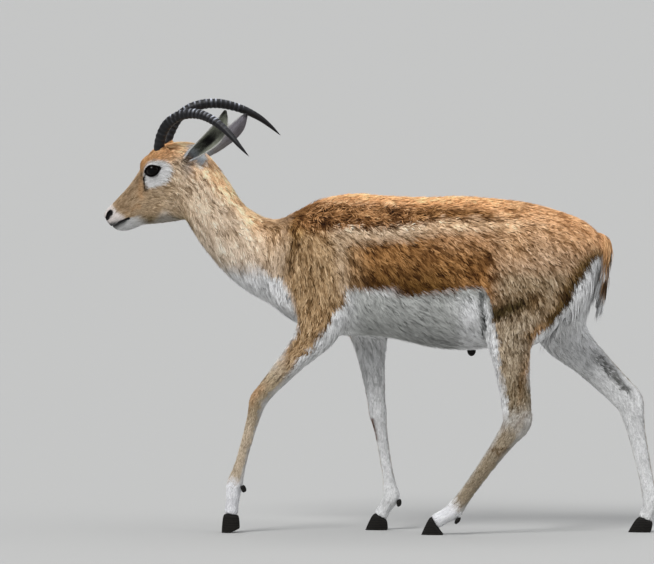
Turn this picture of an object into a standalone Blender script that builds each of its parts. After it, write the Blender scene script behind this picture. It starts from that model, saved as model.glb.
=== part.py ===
"""A life-size blackbuck in a slow walk: a young male in a fawn coat, with its head up.

It faces -X, its left side is toward -Y and its hooves stand on z = 0. The flesh is modelled
whole, as lofts and rounded masses fused into one skin, and then parted by thin cuts. Horns,
ears, eyes, hooves, dewclaws, tail and sheath are modelled apart and meet it face to face.
"""

import math

import bmesh
import bpy
from mathutils import Matrix, Vector

# Driving dimensions, in metres
GAP = 0.0003
VOXEL = 0.003
FINE_SHARE = 0.031
COARSE_SHARE = 0.015
LIMB_BLEND = 12
TRUNK_BLEND = 50

# Trunk, breast to rump: place along it, top line, under line, half width, height of the widest
# point, and how square its section is
TRUNK = (
    (-0.272, 0.615, 0.520, 0.030, 0.565, 2.0),
    (-0.240, 0.645, 0.484, 0.058, 0.560, 2.1),
    (-0.195, 0.668, 0.446, 0.080, 0.555, 2.2),
    (-0.130, 0.700, 0.418, 0.092, 0.545, 2.3),
    (-0.060, 0.714, 0.410, 0.096, 0.540, 2.3),
    (0.020, 0.708, 0.407, 0.102, 0.540, 2.3),
    (0.100, 0.707, 0.389, 0.108, 0.535, 2.3),
    (0.170, 0.709, 0.383, 0.108, 0.535, 2.3),
    (0.240, 0.704, 0.390, 0.102, 0.545, 2.3),
    (0.310, 0.696, 0.412, 0.098, 0.560, 2.3),
    (0.370, 0.680, 0.440, 0.094, 0.575, 2.2),
    (0.418, 0.663, 0.480, 0.078, 0.580, 2.1),
    (0.449, 0.642, 0.515, 0.054, 0.580, 2.0),
    (0.464, 0.618, 0.550, 0.030, 0.580, 2.0),
)
# Neck, chest to poll: centre, depth and width
NECK = (
    (-0.160, 0.000, 0.560, 0.215, 0.150),
    (-0.224, 0.000, 0.571, 0.184, 0.135),
    (-0.269, 0.000, 0.588, 0.160, 0.116),
    (-0.308, 0.000, 0.617, 0.138, 0.100),
    (-0.340, 0.001, 0.650, 0.126, 0.092),
    (-0.366, 0.002, 0.690, 0.124, 0.088),
    (-0.388, 0.003, 0.730, 0.116, 0.084),
    (-0.408, 0.004, 0.768, 0.098, 0.076),
    (-0.425, 0.006, 0.795, 0.070, 0.060),
)
# Cuts behind the jaw and at the foot of the neck: a point and the way to the head
HEAD_CUT = ((-0.387, 0.000, 0.722), (-0.958, 0.000, 0.285))
NECK_CUT = ((-0.255, 0.000, 0.585), (-0.830, 0.000, 0.558))
# Rounded muscle masses on the trunk: centre, radii and turn about Y in degrees
MASSES = (
    (-0.095, 0.056, 0.600, 0.070, 0.030, 0.090, 28),
    (-0.165, 0.046, 0.525, 0.066, 0.036, 0.070, 30),
    (0.345, 0.050, 0.580, 0.105, 0.046, 0.086, -15),
    (0.395, 0.045, 0.535, 0.060, 0.040, 0.082, 15),
)

# Head frame: its origin lies between the eyes, x forward, y to its left and z to its crown
HEAD_PLACE = Vector((-0.478, 0.020, 0.7634))
HEAD_DOWN = math.radians(40)
HEAD_AWAY = math.radians(-14)
HEAD_TILT = math.radians(-10)
# Head, nose to nape: place, top, bottom, half width, height of the widest point, squareness
SKULL = (
    (0.157, -0.006, -0.030, 0.011, -0.017, 2.0),
    (0.152, 0.001, -0.046, 0.017, -0.020, 2.2),
    (0.142, 0.005, -0.057, 0.0200, -0.024, 2.3),
    (0.125, 0.006, -0.066, 0.0225, -0.028, 2.3),
    (0.105, 0.008, -0.073, 0.0245, -0.030, 2.3),
    (0.080, 0.010, -0.091, 0.0285, -0.030, 2.2),
    (0.050, 0.016, -0.111, 0.0345, -0.028, 2.1),
    (0.022, 0.024, -0.126, 0.0400, -0.024, 2.1),
    (0.000, 0.031, -0.131, 0.0420, -0.020, 2.1),
    (-0.028, 0.034, -0.120, 0.0410, -0.018, 2.1),
    (-0.055, 0.022, -0.100, 0.0380, -0.026, 2.1),
    (-0.080, 0.006, -0.080, 0.0350, -0.034, 2.1),
    (-0.100, -0.016, -0.068, 0.0280, -0.042, 2.0),
)
# Rounded masses of the head, on both sides: place in the head frame and radii
HEAD_MASSES = (
    (0.000, 0.0295, 0.000, 0.0195, 0.0195, 0.0195),
    (0.002, 0.0260, 0.000, 0.0320, 0.0165, 0.0250),
    (-0.002, 0.0240, 0.020, 0.0260, 0.0160, 0.0140),
    (-0.036, 0.0245, 0.012, 0.0185, 0.0145, 0.0150),
    (0.030, 0.0200, -0.058, 0.0480, 0.0160, 0.0400),
    (-0.072, 0.0270, -0.034, 0.0200, 0.0150, 0.0220),
)
EYE_PLACE = Vector((0.000, 0.0295, 0.000))
EYE_RADIUS = 0.0165
LID_HALF_LENGTH = 0.0162
LID_HALF_HEIGHT = 0.0112
LID_THICK = 0.0020
LID_PROUD = 0.9
LID_TILT = math.radians(23)
LID_STEPS = 20
LID_SIDES = 5
# The opening within a lid is smaller than it by this share of its thickness
LID_INNER = 0.6
SOCKET_SIDES = (12, 18)
OPENING_SIDES = 20
# Mouth line, on the middle plane of the head: its corner and its front
MOUTH_CORNER = Vector((0.111, 0, -0.043))
MOUTH_FRONT = Vector((0.160, 0, -0.030))
MOUTH_OPEN = 0.0016
MOUTH_REACH = 0.08
# What the mouth line leaves whole inside the muzzle: place along it and radii
MOUTH_CORE = (0.104, 0.0480, 0.0190)
# Slits cut on both sides of the head: centre, radii and turn about Y in degrees
NOSTRIL = (0.1440, 0.0165, -0.0085, 0.0115, 0.0045, 0.0034, 16)
GLAND = (0.0370, 0.0385, -0.0110, 0.0150, 0.0035, 0.0028, 52)

# Horns, in the head frame: the path of the left one, its length outside and its width
HORN_PATH = (
    (-0.020, 0.022, 0.005),
    (-0.040, 0.029, 0.026),
    (-0.066, 0.040, 0.042),
    (-0.094, 0.047, 0.051),
    (-0.123, 0.053, 0.049),
    (-0.150, 0.060, 0.037),
    (-0.172, 0.071, 0.018),
    (-0.188, 0.085, -0.006),
    (-0.199, 0.100, -0.032),
    (-0.206, 0.115, -0.060),
    (-0.209, 0.125, -0.087),
    (-0.211, 0.130, -0.116),
)
HORN_WIDTH = 0.0225
HORN_RINGS = 17
HORN_SMOOTH_TIP = 0.22
HORN_SIDES = 10

# Ears, in the head frame: the back of each from root to tip, and the way its cup opens
EARS = {
    "left": (
        (-0.058, 0.022, -0.030),
        (-0.089, 0.032, -0.028),
        (-0.122, 0.042, -0.030),
        (-0.156, 0.051, -0.031),
        (-0.187, 0.059, -0.027),
        (-0.218, 0.066, -0.009),
        (0.20, 0.95, -0.20),
    ),
    "right": (
        (-0.058, -0.022, -0.040),
        (-0.095, -0.033, -0.048),
        (-0.130, -0.046, -0.052),
        (-0.170, -0.060, -0.051),
        (-0.204, -0.074, -0.038),
        (0.20, -0.80, 0.45),
    ),
}
# Along an ear: share of its length, share of its width, and half the turn of its cup
EAR_SHAPE = (
    (0.00, 0.50, 2.75),
    (0.18, 0.58, 2.45),
    (0.36, 0.78, 1.80),
    (0.60, 1.00, 1.35),
    (0.78, 0.90, 1.20),
    (0.91, 0.54, 1.10),
    (1.00, 0.12, 1.00),
)
EAR_HALF_WIDTH = 0.0180
EAR_WALL = 0.0026
EAR_POINTS = 7
# How flat a wall gets where the ear is narrow, as a share of its half width
EAR_LEAST_WALL = 0.4

# Fore legs below the elbow: bone, share of its length, depth and width
FORE_SHAPE = (
    (0, 0.00, 0.084, 0.052),
    (0, 0.28, 0.063, 0.044),
    (0, 0.60, 0.049, 0.037),
    (0, 0.88, 0.040, 0.035),
    (1, 0.02, 0.041, 0.036),
    (1, 0.14, 0.033, 0.030),
    (1, 0.35, 0.0275, 0.0225),
    (1, 0.72, 0.0265, 0.0210),
    (1, 0.90, 0.033, 0.0265),
    (2, 0.00, 0.038, 0.0290),
    (2, 0.50, 0.030, 0.0270),
    (2, 1.25, 0.034, 0.0300),
)
# Hind legs below the stifle
HIND_SHAPE = (
    (0, 0.00, 0.104, 0.066),
    (0, 0.30, 0.080, 0.050),
    (0, 0.62, 0.069, 0.040),
    (0, 0.88, 0.064, 0.036),
    (1, 0.02, 0.062, 0.037),
    (1, 0.12, 0.052, 0.033),
    (1, 0.28, 0.042, 0.0285),
    (1, 0.55, 0.035, 0.0240),
    (1, 0.82, 0.032, 0.0230),
    (1, 0.95, 0.037, 0.0280),
    (2, 0.00, 0.040, 0.0300),
    (2, 0.50, 0.032, 0.0280),
    (2, 1.25, 0.036, 0.0310),
)
# Each leg: side, rows of its root (x, y, z, depth, width), then its joints down to the coronet,
# its hoof (toe, heel, how far its sole is tipped), its cut from the trunk (place and height on
# the middle plane, slope along the body), and how far down each bone it is parted
LEGS = {
    "foreleg_left": {
        "side": -1,
        "shape": FORE_SHAPE,
        "root": ((-0.120, -0.052, 0.520, 0.130, 0.060), (-0.118, -0.062, 0.455, 0.112, 0.062)),
        "joints": (
            (-0.140, -0.063, 0.410),
            (-0.252, -0.062, 0.282),
            (-0.304, -0.060, 0.098),
            (-0.311, -0.060, 0.039),
        ),
        "toe": -0.331,
        "heel": -0.289,
        "tip": math.radians(24),
        "cut": (-0.140, 0.372, -0.35),
        "ankle": 0.86,
    },
    "foreleg_right": {
        "side": 1,
        "shape": FORE_SHAPE,
        "root": ((-0.070, 0.052, 0.520, 0.120, 0.060), (-0.050, 0.060, 0.455, 0.100, 0.060)),
        "joints": (
            (-0.034, 0.060, 0.412),
            (-0.015, 0.058, 0.250),
            (0.015, 0.056, 0.070),
            (-0.009, 0.055, 0.029),
        ),
        "toe": -0.041,
        "heel": 0.007,
        "tip": 0.0,
        "cut": (-0.060, 0.358, -0.05),
        "ankle": 0.86,
    },
    "hindleg_left": {
        "side": -1,
        "shape": HIND_SHAPE,
        "root": (
            (0.350, -0.048, 0.610, 0.200, 0.090),
            (0.330, -0.056, 0.560, 0.215, 0.092),
            (0.312, -0.060, 0.494, 0.190, 0.090),
            (0.292, -0.063, 0.445, 0.148, 0.080),
        ),
        "joints": (
            (0.277, -0.065, 0.409),
            (0.295, -0.065, 0.237),
            (0.160, -0.064, 0.050),
            (0.120, -0.064, 0.0265),
        ),
        "toe": 0.091,
        "heel": 0.139,
        "tip": 0.0,
        "cut": (0.290, 0.393, 0.65),
        "ankle": 0.90,
    },
    "hindleg_right": {
        "side": 1,
        "shape": HIND_SHAPE,
        "root": (
            (0.365, 0.048, 0.610, 0.190, 0.090),
            (0.360, 0.054, 0.560, 0.200, 0.092),
            (0.360, 0.058, 0.500, 0.175, 0.088),
            (0.366, 0.060, 0.450, 0.140, 0.078),
        ),
        "joints": (
            (0.384, 0.060, 0.408),
            (0.518, 0.060, 0.276),
            (0.564, 0.060, 0.062),
            (0.551, 0.060, 0.028),
        ),
        "toe": 0.514,
        "heel": 0.563,
        "tip": 0.0,
        "cut": (0.290, 0.393, 0.65),
        "ankle": 0.90,
    },
}
# The cut that parts a leg from the trunk: how steeply it rises outward, its length and reach
CUT_RISE = 1.0
CUT_LENGTH = 0.50
CUT_REACH = 0.24
# The cut across a leg: its depth and width. The cut between the hind legs: size and centre
LIMB_CUT = (0.12, 0.075)
CROTCH_CUT = (0.34, 0.30)
CROTCH_PLACE = (0.44, 0.36)
# Each hoof is two claws. Their tops are a little narrower than the coronet
CLAW_WIDTH = 0.0145
CLAW_GAP = 0.0012
CLAW_SIDES = 12
CLAW_LEVELS = (0, 0.4, 0.75, 1)
CLAW_TOP = 0.94
CLAW_SWELL = 0.05
CLAW_POINTED = 0.80
TOE_FLAT = 0.016
TOE_DEEP = 0.002
# Dewclaws: radii, how far each stands out behind, below and beside the fetlock, and its turn
DEWCLAW = (0.0055, 0.0042, 0.0085)
DEWCLAW_PLACE = (0.001, 0.003, 0.0095)
DEWCLAW_TURN = -0.5
# Point of the hock: radii, and how far it lies behind and above the joint
HEEL_BONE = (0.015, 0.013, 0.026)
HEEL_BACK = 0.012
HEEL_UP = 0.008

# The tail under its long hair, root to tip: centre, depth and width
TAIL = (
    (0.440, 0.000, 0.632, 0.024, 0.028),
    (0.465, 0.000, 0.618, 0.026, 0.032),
    (0.473, 0.000, 0.580, 0.019, 0.027),
    (0.471, 0.000, 0.535, 0.015, 0.023),
    (0.464, 0.000, 0.495, 0.011, 0.016),
    (0.458, 0.000, 0.468, 0.006, 0.008),
)
# Locks of the tail's long hair, in tiers from its root down: share of its length, how many there
# are, how far round they go from its outer side, their length and how far their tips stand off
TAIL_TIERS = (
    (0.14, 4, 1.3, 0.066, 0.003),
    (0.32, 5, 1.7, 0.070, 0.005),
    (0.50, 5, 1.9, 0.070, 0.006),
    (0.68, 5, 2.0, 0.066, 0.006),
    (0.84, 3, 1.9, 0.060, 0.003),
)
# Width of a lock along it, as shares of its length and of its full width
LOCK_SHAPE = ((0.00, 0.55), (0.22, 0.95), (0.50, 1.00), (0.78, 0.68), (1.00, 0.08))
LOCK_WIDTH = 0.0125
LOCK_THICK = 0.0042
LOCK_SUNK = 0.0030
LOCK_SIDES = 4
# How far a lock turns from the tail's line to plumb, and how locks differ in length and in sway
LOCK_HANG = 0.25
LOCK_VARIES = 0.10
LOCK_SWAY = 0.3
LOCK_WAVE = (7, 40)
SHEATH = (0.190, 0.000, 0.383, 0.010, 0.006, 0.012)

COLOURS = {
    "coat": ((0.47, 0.26, 0.12), 0.75),
    "pale": ((0.78, 0.74, 0.68), 0.80),
    "horn": ((0.035, 0.032, 0.034), 0.45),
    "eye": ((0.012, 0.008, 0.006), 0.08),
    "hoof": ((0.045, 0.040, 0.038), 0.50),
}


def curve_rows(rows, steps):
    """Rows of a smooth curve through the given rows, with this many steps between two."""
    rows = [Vector(row) for row in rows]
    made = []
    for i in range(len(rows) - 1):
        a, b = rows[i], rows[i + 1]
        before = rows[i - 1] if i else a * 2 - b
        after = rows[i + 2] if i + 2 < len(rows) else b * 2 - a
        for k in range(steps):
            t = k / steps
            made.append(
                0.5 * (2 * a + (b - before) * t + (2 * before - 5 * a + 4 * b - after) * t**2
                       + (3 * a - before - 3 * b + after) * t**3)
            )
    made.append(rows[-1])
    return made


def round_power(value, power):
    """Cosine or sine of a rounded square: a circle at power 2, squarer above it."""
    return math.copysign(abs(value) ** (2 / power), value)


def flat_section(row, sides=28):
    """Closed section across X from (place, top, bottom, half width, widest, squareness)."""
    x, top, bottom, half_width, widest, power = row
    points = []
    for k in range(sides):
        turn = 2 * math.pi * k / sides
        y = half_width * round_power(math.cos(turn), power)
        reach = top - widest if math.sin(turn) > 0 else widest - bottom
        points.append(Vector((x, y, widest + reach * round_power(math.sin(turn), power))))
    return points


def tube_sections(rows, sides=20, across=(0, 1, 0)):
    """Oval sections square to the line through (x, y, z, depth, width) rows."""
    sections = []
    for i, row in enumerate(rows):
        centre = Vector(row[:3])
        along = Vector(rows[min(i + 1, len(rows) - 1)][:3]) - Vector(rows[max(i - 1, 0)][:3])
        along.normalize()
        side = Vector(across)
        side = (side - along * side.dot(along)).normalized()
        front = along.cross(side)
        turns = [2 * math.pi * k / sides for k in range(sides)]
        sections.append([
            centre + front * (row[3] / 2 * math.cos(turn)) + side * (row[4] / 2 * math.sin(turn))
            for turn in turns
        ])
    return sections


def new_object(name, mesh_build, collection):
    """An object whose mesh is what is left in the bmesh, with its faces pointing out."""
    bmesh.ops.recalc_face_normals(mesh_build, faces=mesh_build.faces)
    mesh = bpy.data.meshes.new(name)
    mesh_build.to_mesh(mesh)
    mesh_build.free()
    made = bpy.data.objects.new(name, mesh)
    if collection.hide_render:
        made.hide_render = True
        made.display_type = "WIRE"
    collection.objects.link(made)
    return made


def loft(name, sections, collection):
    """A closed solid through sections of equal point count."""
    build = bmesh.new()
    rings = [[build.verts.new(point) for point in section] for section in sections]
    count = len(sections[0])
    for first, second in zip(rings, rings[1:]):
        for k in range(count):
            n = (k + 1) % count
            build.faces.new((first[k], first[n], second[n], second[k]))
    build.faces.new(rings[0][::-1])
    build.faces.new(rings[-1])
    return new_object(name, build, collection)


def ellipsoid(name, centre, radii, collection, turn=None, rings=12, segments=16):
    """A sphere stretched to three radii, turned and set at its centre."""
    build = bmesh.new()
    bmesh.ops.create_uvsphere(build, u_segments=segments, v_segments=rings, radius=1.0)
    place = Matrix.Translation(centre) @ (turn or Matrix()).to_4x4() @ Matrix.Diagonal((*radii, 1))
    bmesh.ops.transform(build, matrix=place, verts=build.verts)
    return new_object(name, build, collection)


def drum(name, place, collection, sides=28):
    """A drum of radius and height 1 round Z, stretched and moved by a matrix."""
    build = bmesh.new()
    bmesh.ops.create_cone(build, cap_ends=True, segments=sides, radius1=1, radius2=1, depth=1)
    bmesh.ops.transform(build, matrix=place, verts=build.verts)
    return new_object(name, build, collection)


def box(name, size, place, collection):
    """A box of this size, moved by a matrix."""
    build = bmesh.new()
    bmesh.ops.create_cube(build, size=1.0)
    bmesh.ops.transform(build, matrix=place @ Matrix.Diagonal((*size, 1)), verts=build.verts)
    return new_object(name, build, collection)


def head_matrix():
    """The place and turn of the head frame in the world."""
    turn = (
        Matrix.Rotation(math.pi + HEAD_AWAY, 4, "Z")
        @ Matrix.Rotation(HEAD_DOWN, 4, "Y")
        @ Matrix.Rotation(HEAD_TILT, 4, "X")
    )
    return Matrix.Translation(HEAD_PLACE) @ turn


def apply_modifiers(item):
    """The object keeps only the mesh that its modifiers make."""
    graph = bpy.context.evaluated_depsgraph_get()
    mesh = bpy.data.meshes.new_from_object(item.evaluated_get(graph))
    item.modifiers.clear()
    old = item.data
    item.data = mesh
    bpy.data.meshes.remove(old)


def remove(*items):
    for item in items:
        bpy.data.objects.remove(item)


def duplicate(item, name, collection):
    copy = bpy.data.objects.new(name, item.data.copy())
    collection.objects.link(copy)
    return copy


def combine(item, others, operation, solver="EXACT"):
    """One Boolean of the object with each of the others, which are then removed."""
    for other in others:
        modifier = item.modifiers.new("Combine", "BOOLEAN")
        modifier.operation = operation
        modifier.solver = solver
        modifier.object = other
        apply_modifiers(item)
    remove(*others)


def loose_parts(build):
    """Lists of faces, one for each surface that hangs together."""
    left = set(build.faces)
    parts = []
    while left:
        reached = [left.pop()]
        for face in reached:
            for edge in face.edges:
                for near in edge.link_faces:
                    if near in left:
                        left.remove(near)
                        reached.append(near)
        parts.append(reached)
    return parts


def keep_part(item, best):
    """Keeps the one loose surface for which best(faces) is the highest."""
    build = bmesh.new()
    build.from_mesh(item.data)
    parts = sorted(loose_parts(build), key=best)
    dropped = [face for part in parts[:-1] for face in part]
    bmesh.ops.delete(build, geom=dropped, context="FACES")
    build.to_mesh(item.data)
    build.free()


def area(faces):
    return sum(face.calc_area() for face in faces)


def middle(faces):
    total = area(faces)
    return sum((face.calc_center_median() * face.calc_area() for face in faces), Vector()) / total


def clip(item, point, normal):
    """Cuts the object by a plane, keeps the side the normal points to and closes the cut."""
    build = bmesh.new()
    build.from_mesh(item.data)
    everything = build.verts[:] + build.edges[:] + build.faces[:]
    bmesh.ops.bisect_plane(
        build, geom=everything, plane_co=point, plane_no=normal, dist=1e-6, clear_inner=True
    )
    rim = [edge for edge in build.edges if edge.is_boundary]
    bmesh.ops.holes_fill(build, edges=rim, sides=0)
    bmesh.ops.recalc_face_normals(build, faces=build.faces)
    build.to_mesh(item.data)
    build.free()


def cut_off(body, name, point, away, cutter, collection):
    """Parts the body with a thin cutter. What lies beyond it, the way away points, is named."""
    def size_beyond(faces):
        return area(faces) if (middle(faces) - point).dot(away) > 0 else 0

    combine(body, [cutter], "DIFFERENCE", "MANIFOLD")
    piece = duplicate(body, name, collection)
    keep_part(piece, size_beyond)
    keep_part(body, area)
    return piece


def slab(point, normal, across, size, collection):
    """A thin square sheet at a point, facing along the normal, as wide as size along across."""
    normal = Vector(normal).normalized()
    across = (Vector(across) - normal * Vector(across).dot(normal)).normalized()
    third = normal.cross(across)
    turn = Matrix((across, third, normal)).transposed().to_4x4()
    return box("cut", (size[0], size[1], GAP), Matrix.Translation(point) @ turn, collection)


def leg_rows(leg):
    """Rows (x, y, z, depth, width) of a leg from its root down to its coronet."""
    joints = [Vector(joint) for joint in leg["joints"]]
    rows = list(leg["root"])
    for bone, share, depth, width in leg["shape"]:
        centre = joints[bone].lerp(joints[bone + 1], share)
        rows.append((*centre, depth, width))
    return rows


def rear_of(along):
    """The way to the rear, square to a bone of the leg."""
    rear = Vector((0, 1, 0)).cross(along).normalized()
    if rear.x < 0:
        rear.negate()
    return rear


def pastern_frame(leg):
    """Fetlock, coronet, the way from one to the other, and the way to the leg's rear."""
    fetlock, coronet = Vector(leg["joints"][2]), Vector(leg["joints"][3])
    down = (coronet - fetlock).normalized()
    return fetlock, coronet, down, rear_of(down)


def mirrored(point, side):
    return Vector((point[0], point[1] * side, point[2]))


def heel_bone(leg, collection):
    """The point of the hock, which stands out behind the joint."""
    hock, fetlock = Vector(leg["joints"][1]), Vector(leg["joints"][2])
    along = (hock - fetlock).normalized()
    rear = rear_of(along)
    turn = Matrix((rear, rear.cross(along) * -1, along)).transposed()
    centre = hock + rear * HEEL_BACK + along * HEEL_UP
    return ellipsoid("heel_bone", centre, HEEL_BONE, collection, turn)


def flesh_forms(collection):
    """The lofts and masses that make trunk, neck, head and legs."""
    head = head_matrix()
    forms = [
        loft("trunk", [flat_section(row) for row in curve_rows(TRUNK, 4)], collection),
        loft("neck", tube_sections(curve_rows(NECK, 4), 24), collection),
        loft("skull", [
            [head @ point for point in flat_section(row)] for row in curve_rows(SKULL, 3)
        ], collection),
    ]
    for leg in LEGS.values():
        forms.append(loft("leg", tube_sections(curve_rows(leg_rows(leg), 3)), collection))
        if leg["shape"] is HIND_SHAPE:
            forms.append(heel_bone(leg, collection))
    for x, y, z, *radii, turn in MASSES:
        for side in (-1, 1):
            forms.append(ellipsoid(
                "mass", Vector((x, side * y, z)), radii, collection,
                Matrix.Rotation(math.radians(turn), 4, "Y"),
            ))
    for x, y, z, *radii in HEAD_MASSES:
        for side in (-1, 1):
            forms.append(ellipsoid(
                "mass", head @ Vector((x, side * y, z)), radii, collection, head.to_3x3().to_4x4()
            ))
    return forms


def fuse(forms, collection):
    """One even skin over all the forms, with their joins rounded off."""
    build = bmesh.new()
    for form in forms:
        build.from_mesh(form.data)
    remove(*forms)
    skin = new_object("flesh", build, collection)
    remesh = skin.modifiers.new("Skin", "REMESH")
    remesh.mode = "VOXEL"
    remesh.voxel_size = VOXEL
    apply_modifiers(skin)
    keep_part(skin, area)
    trunk = skin.vertex_groups.new(name="trunk")
    for point in skin.data.vertices:
        x, y, z = point.co
        share = min(1, max(0, (z - 0.37) / 0.08)) * min(1, max(0, (x + 0.37) / 0.08))
        trunk.add([point.index], share, "REPLACE")
    for steps, group in ((LIMB_BLEND, ""), (TRUNK_BLEND, "trunk")):
        smooth = skin.modifiers.new("Blend", "SMOOTH")
        smooth.factor = 0.5
        smooth.iterations = steps
        smooth.vertex_group = group
    apply_modifiers(skin)
    return skin


def thinned(skin, name, share, collection):
    """A copy of the skin with only this share of its faces."""
    copy = duplicate(skin, name, collection)
    thin = copy.modifiers.new("Thin", "DECIMATE")
    thin.ratio = share
    apply_modifiers(copy)
    return copy


def grown(skin, collection):
    """A copy of the skin, larger by the gap that touching pieces keep."""
    copy = duplicate(skin, "grown", collection)
    swell = copy.modifiers.new("Grow", "DISPLACE")
    swell.strength = GAP
    swell.mid_level = 0
    apply_modifiers(copy)
    return copy


def fit_against(item, skin, work):
    """Cuts from a piece what lies inside the skin, and keeps its one outer body."""
    combine(item, [grown(skin, work)], "DIFFERENCE")
    keep_part(item, area)


def leg_cut(leg, collection):
    """The thin slab that parts a leg from the trunk: it rises outward and slopes along the body."""
    x, z, slope = leg["cut"]
    along = Vector((1, 0, slope)).normalized()
    outward = Vector((0, leg["side"], CUT_RISE)).normalized()
    down = along.cross(outward).normalized()
    if down.z > 0:
        down.negate()
    point = Vector((x, 0, z)) + outward * (CUT_REACH / 2 - GAP)
    cutter = slab(point, down, along, (CUT_LENGTH, CUT_REACH), collection)
    return cutter, point, down


def part_legs(body, work, parts):
    """Parts each leg from the body, and each leg at its fetlock and at its knee or hock."""
    pieces = []
    for name, leg in LEGS.items():
        joints = [Vector(joint) for joint in leg["joints"]]
        cannon = (joints[2] - joints[1]).normalized()
        ankle = joints[1].lerp(joints[2], leg["ankle"])
        depth, width = LIMB_CUT
        for label, point in (("pastern", ankle), ("cannon", joints[1])):
            cutter = slab(point, cannon, (0, 1, 0), (width, depth), work)
            pieces.append(cut_off(body, f"{name}_{label}", point, cannon, cutter, parts))
        pastern = pieces[-2]
        _, coronet, down, _ = pastern_frame(leg)
        clip(pastern, coronet, -down)
    (length, height), (x, z) = CROTCH_CUT, CROTCH_PLACE
    parting = box("parting", (length, GAP, height), Matrix.Translation((x, 0, z)), work)
    combine(body, [parting], "DIFFERENCE")
    for name, leg in LEGS.items():
        cutter, point, down = leg_cut(leg, work)
        pieces.append(cut_off(body, f"{name}_upper", point, down, cutter, parts))
    return pieces


def lid_ring(side, head, collection):
    """A rim of skin round the eye's opening, laid on the ball of the eye."""
    rows = []
    reach = EYE_RADIUS + LID_THICK * LID_PROUD
    tilt = Matrix.Rotation(LID_TILT, 2)
    for k in range(LID_STEPS):
        turn = 2 * math.pi * k / LID_STEPS
        x, z = tilt @ Vector((LID_HALF_LENGTH * math.cos(turn), LID_HALF_HEIGHT * math.sin(turn)))
        out = math.sqrt(reach**2 - x**2 - z**2)
        rows.append(head @ mirrored(EYE_PLACE + Vector((x, out, z)), side))
    build = bmesh.new()
    centre = head @ mirrored(EYE_PLACE, side)
    rings = []
    for k, row in enumerate(rows):
        along = (rows[(k + 1) % LID_STEPS] - rows[k - 1]).normalized()
        up = (row - centre).normalized()
        wide = along.cross(up).normalized()
        turns = [2 * math.pi * n / LID_SIDES for n in range(LID_SIDES)]
        rings.append([
            build.verts.new(row + (up * math.cos(t) + wide * math.sin(t)) * LID_THICK)
            for t in turns
        ])
    for k in range(LID_STEPS):
        first, second = rings[k], rings[(k + 1) % LID_STEPS]
        for n in range(LID_SIDES):
            m = (n + 1) % LID_SIDES
            build.faces.new((first[n], first[m], second[m], second[n]))
    return new_object("lid", build, collection)


def slit(name, place, side, head, collection):
    """An oval cutter on one side of the head."""
    x, y, z, *radii, turn = place
    turned = head.to_3x3().to_4x4() @ Matrix.Rotation(math.radians(turn), 4, "Y")
    return ellipsoid(name, head @ Vector((x, side * y, z)), radii, collection, turned, 8, 12)


def mouth_cutter(head, collection):
    """A thin sheet along the mouth line, with its middle left out."""
    middle_line = (MOUTH_CORNER + MOUTH_FRONT) / 2
    length = (MOUTH_FRONT - MOUTH_CORNER).length
    rise = Matrix.Rotation(-math.atan2(MOUTH_FRONT.z - MOUTH_CORNER.z, length), 4, "Y")
    place = head @ Matrix.Translation(middle_line + Vector((length / 4, 0, 0))) @ rise
    sheet = box("mouth", (length * 1.5, MOUTH_REACH, MOUTH_OPEN), place, collection)
    x, long, wide = MOUTH_CORE
    middle_place = head @ Matrix.Translation((x, 0, middle_line.z))
    core = drum("core", middle_place @ Matrix.Diagonal((long, wide, MOUTH_REACH, 1)), collection)
    combine(sheet, [core], "DIFFERENCE")
    return sheet


def face_features(head_piece, work):
    """Lids, eye sockets, nostrils, glands and the line of the mouth."""
    head = head_matrix()
    for side in (-1, 1):
        combine(head_piece, [lid_ring(side, head, work)], "UNION")
    for side in (-1, 1):
        centre = head @ mirrored(EYE_PLACE, side)
        size = EYE_RADIUS + GAP
        socket = ellipsoid("socket", centre, (size,) * 3, work, head.to_3x3(), *SOCKET_SIDES)
        tilt = Matrix.Rotation(-LID_TILT, 4, "Y") @ Matrix.Rotation(math.radians(90), 4, "X")
        inner = LID_THICK * LID_INNER
        deep = EYE_RADIUS * 2.4
        stretch = Matrix.Diagonal((LID_HALF_LENGTH - inner, LID_HALF_HEIGHT - inner, deep, 1))
        outward = Vector((0, deep / 2, 0))
        place = head @ Matrix.Translation(mirrored(EYE_PLACE + outward, side))
        hole = drum("opening", place @ tilt @ stretch, work, OPENING_SIDES)
        combine(socket, [hole], "UNION")
        combine(head_piece, [socket], "DIFFERENCE")
        for name, place in (("nostril", NOSTRIL), ("gland", GLAND)):
            combine(head_piece, [slit(name, place, side, head, work)], "DIFFERENCE")
    combine(head_piece, [mouth_cutter(head, work)], "DIFFERENCE")
    keep_part(head_piece, area)


def eye(name, side, parts):
    head = head_matrix()
    centre = head @ mirrored(EYE_PLACE, side)
    return ellipsoid(name, centre, (EYE_RADIUS,) * 3, parts, head.to_3x3(), 10, 16)


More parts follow.
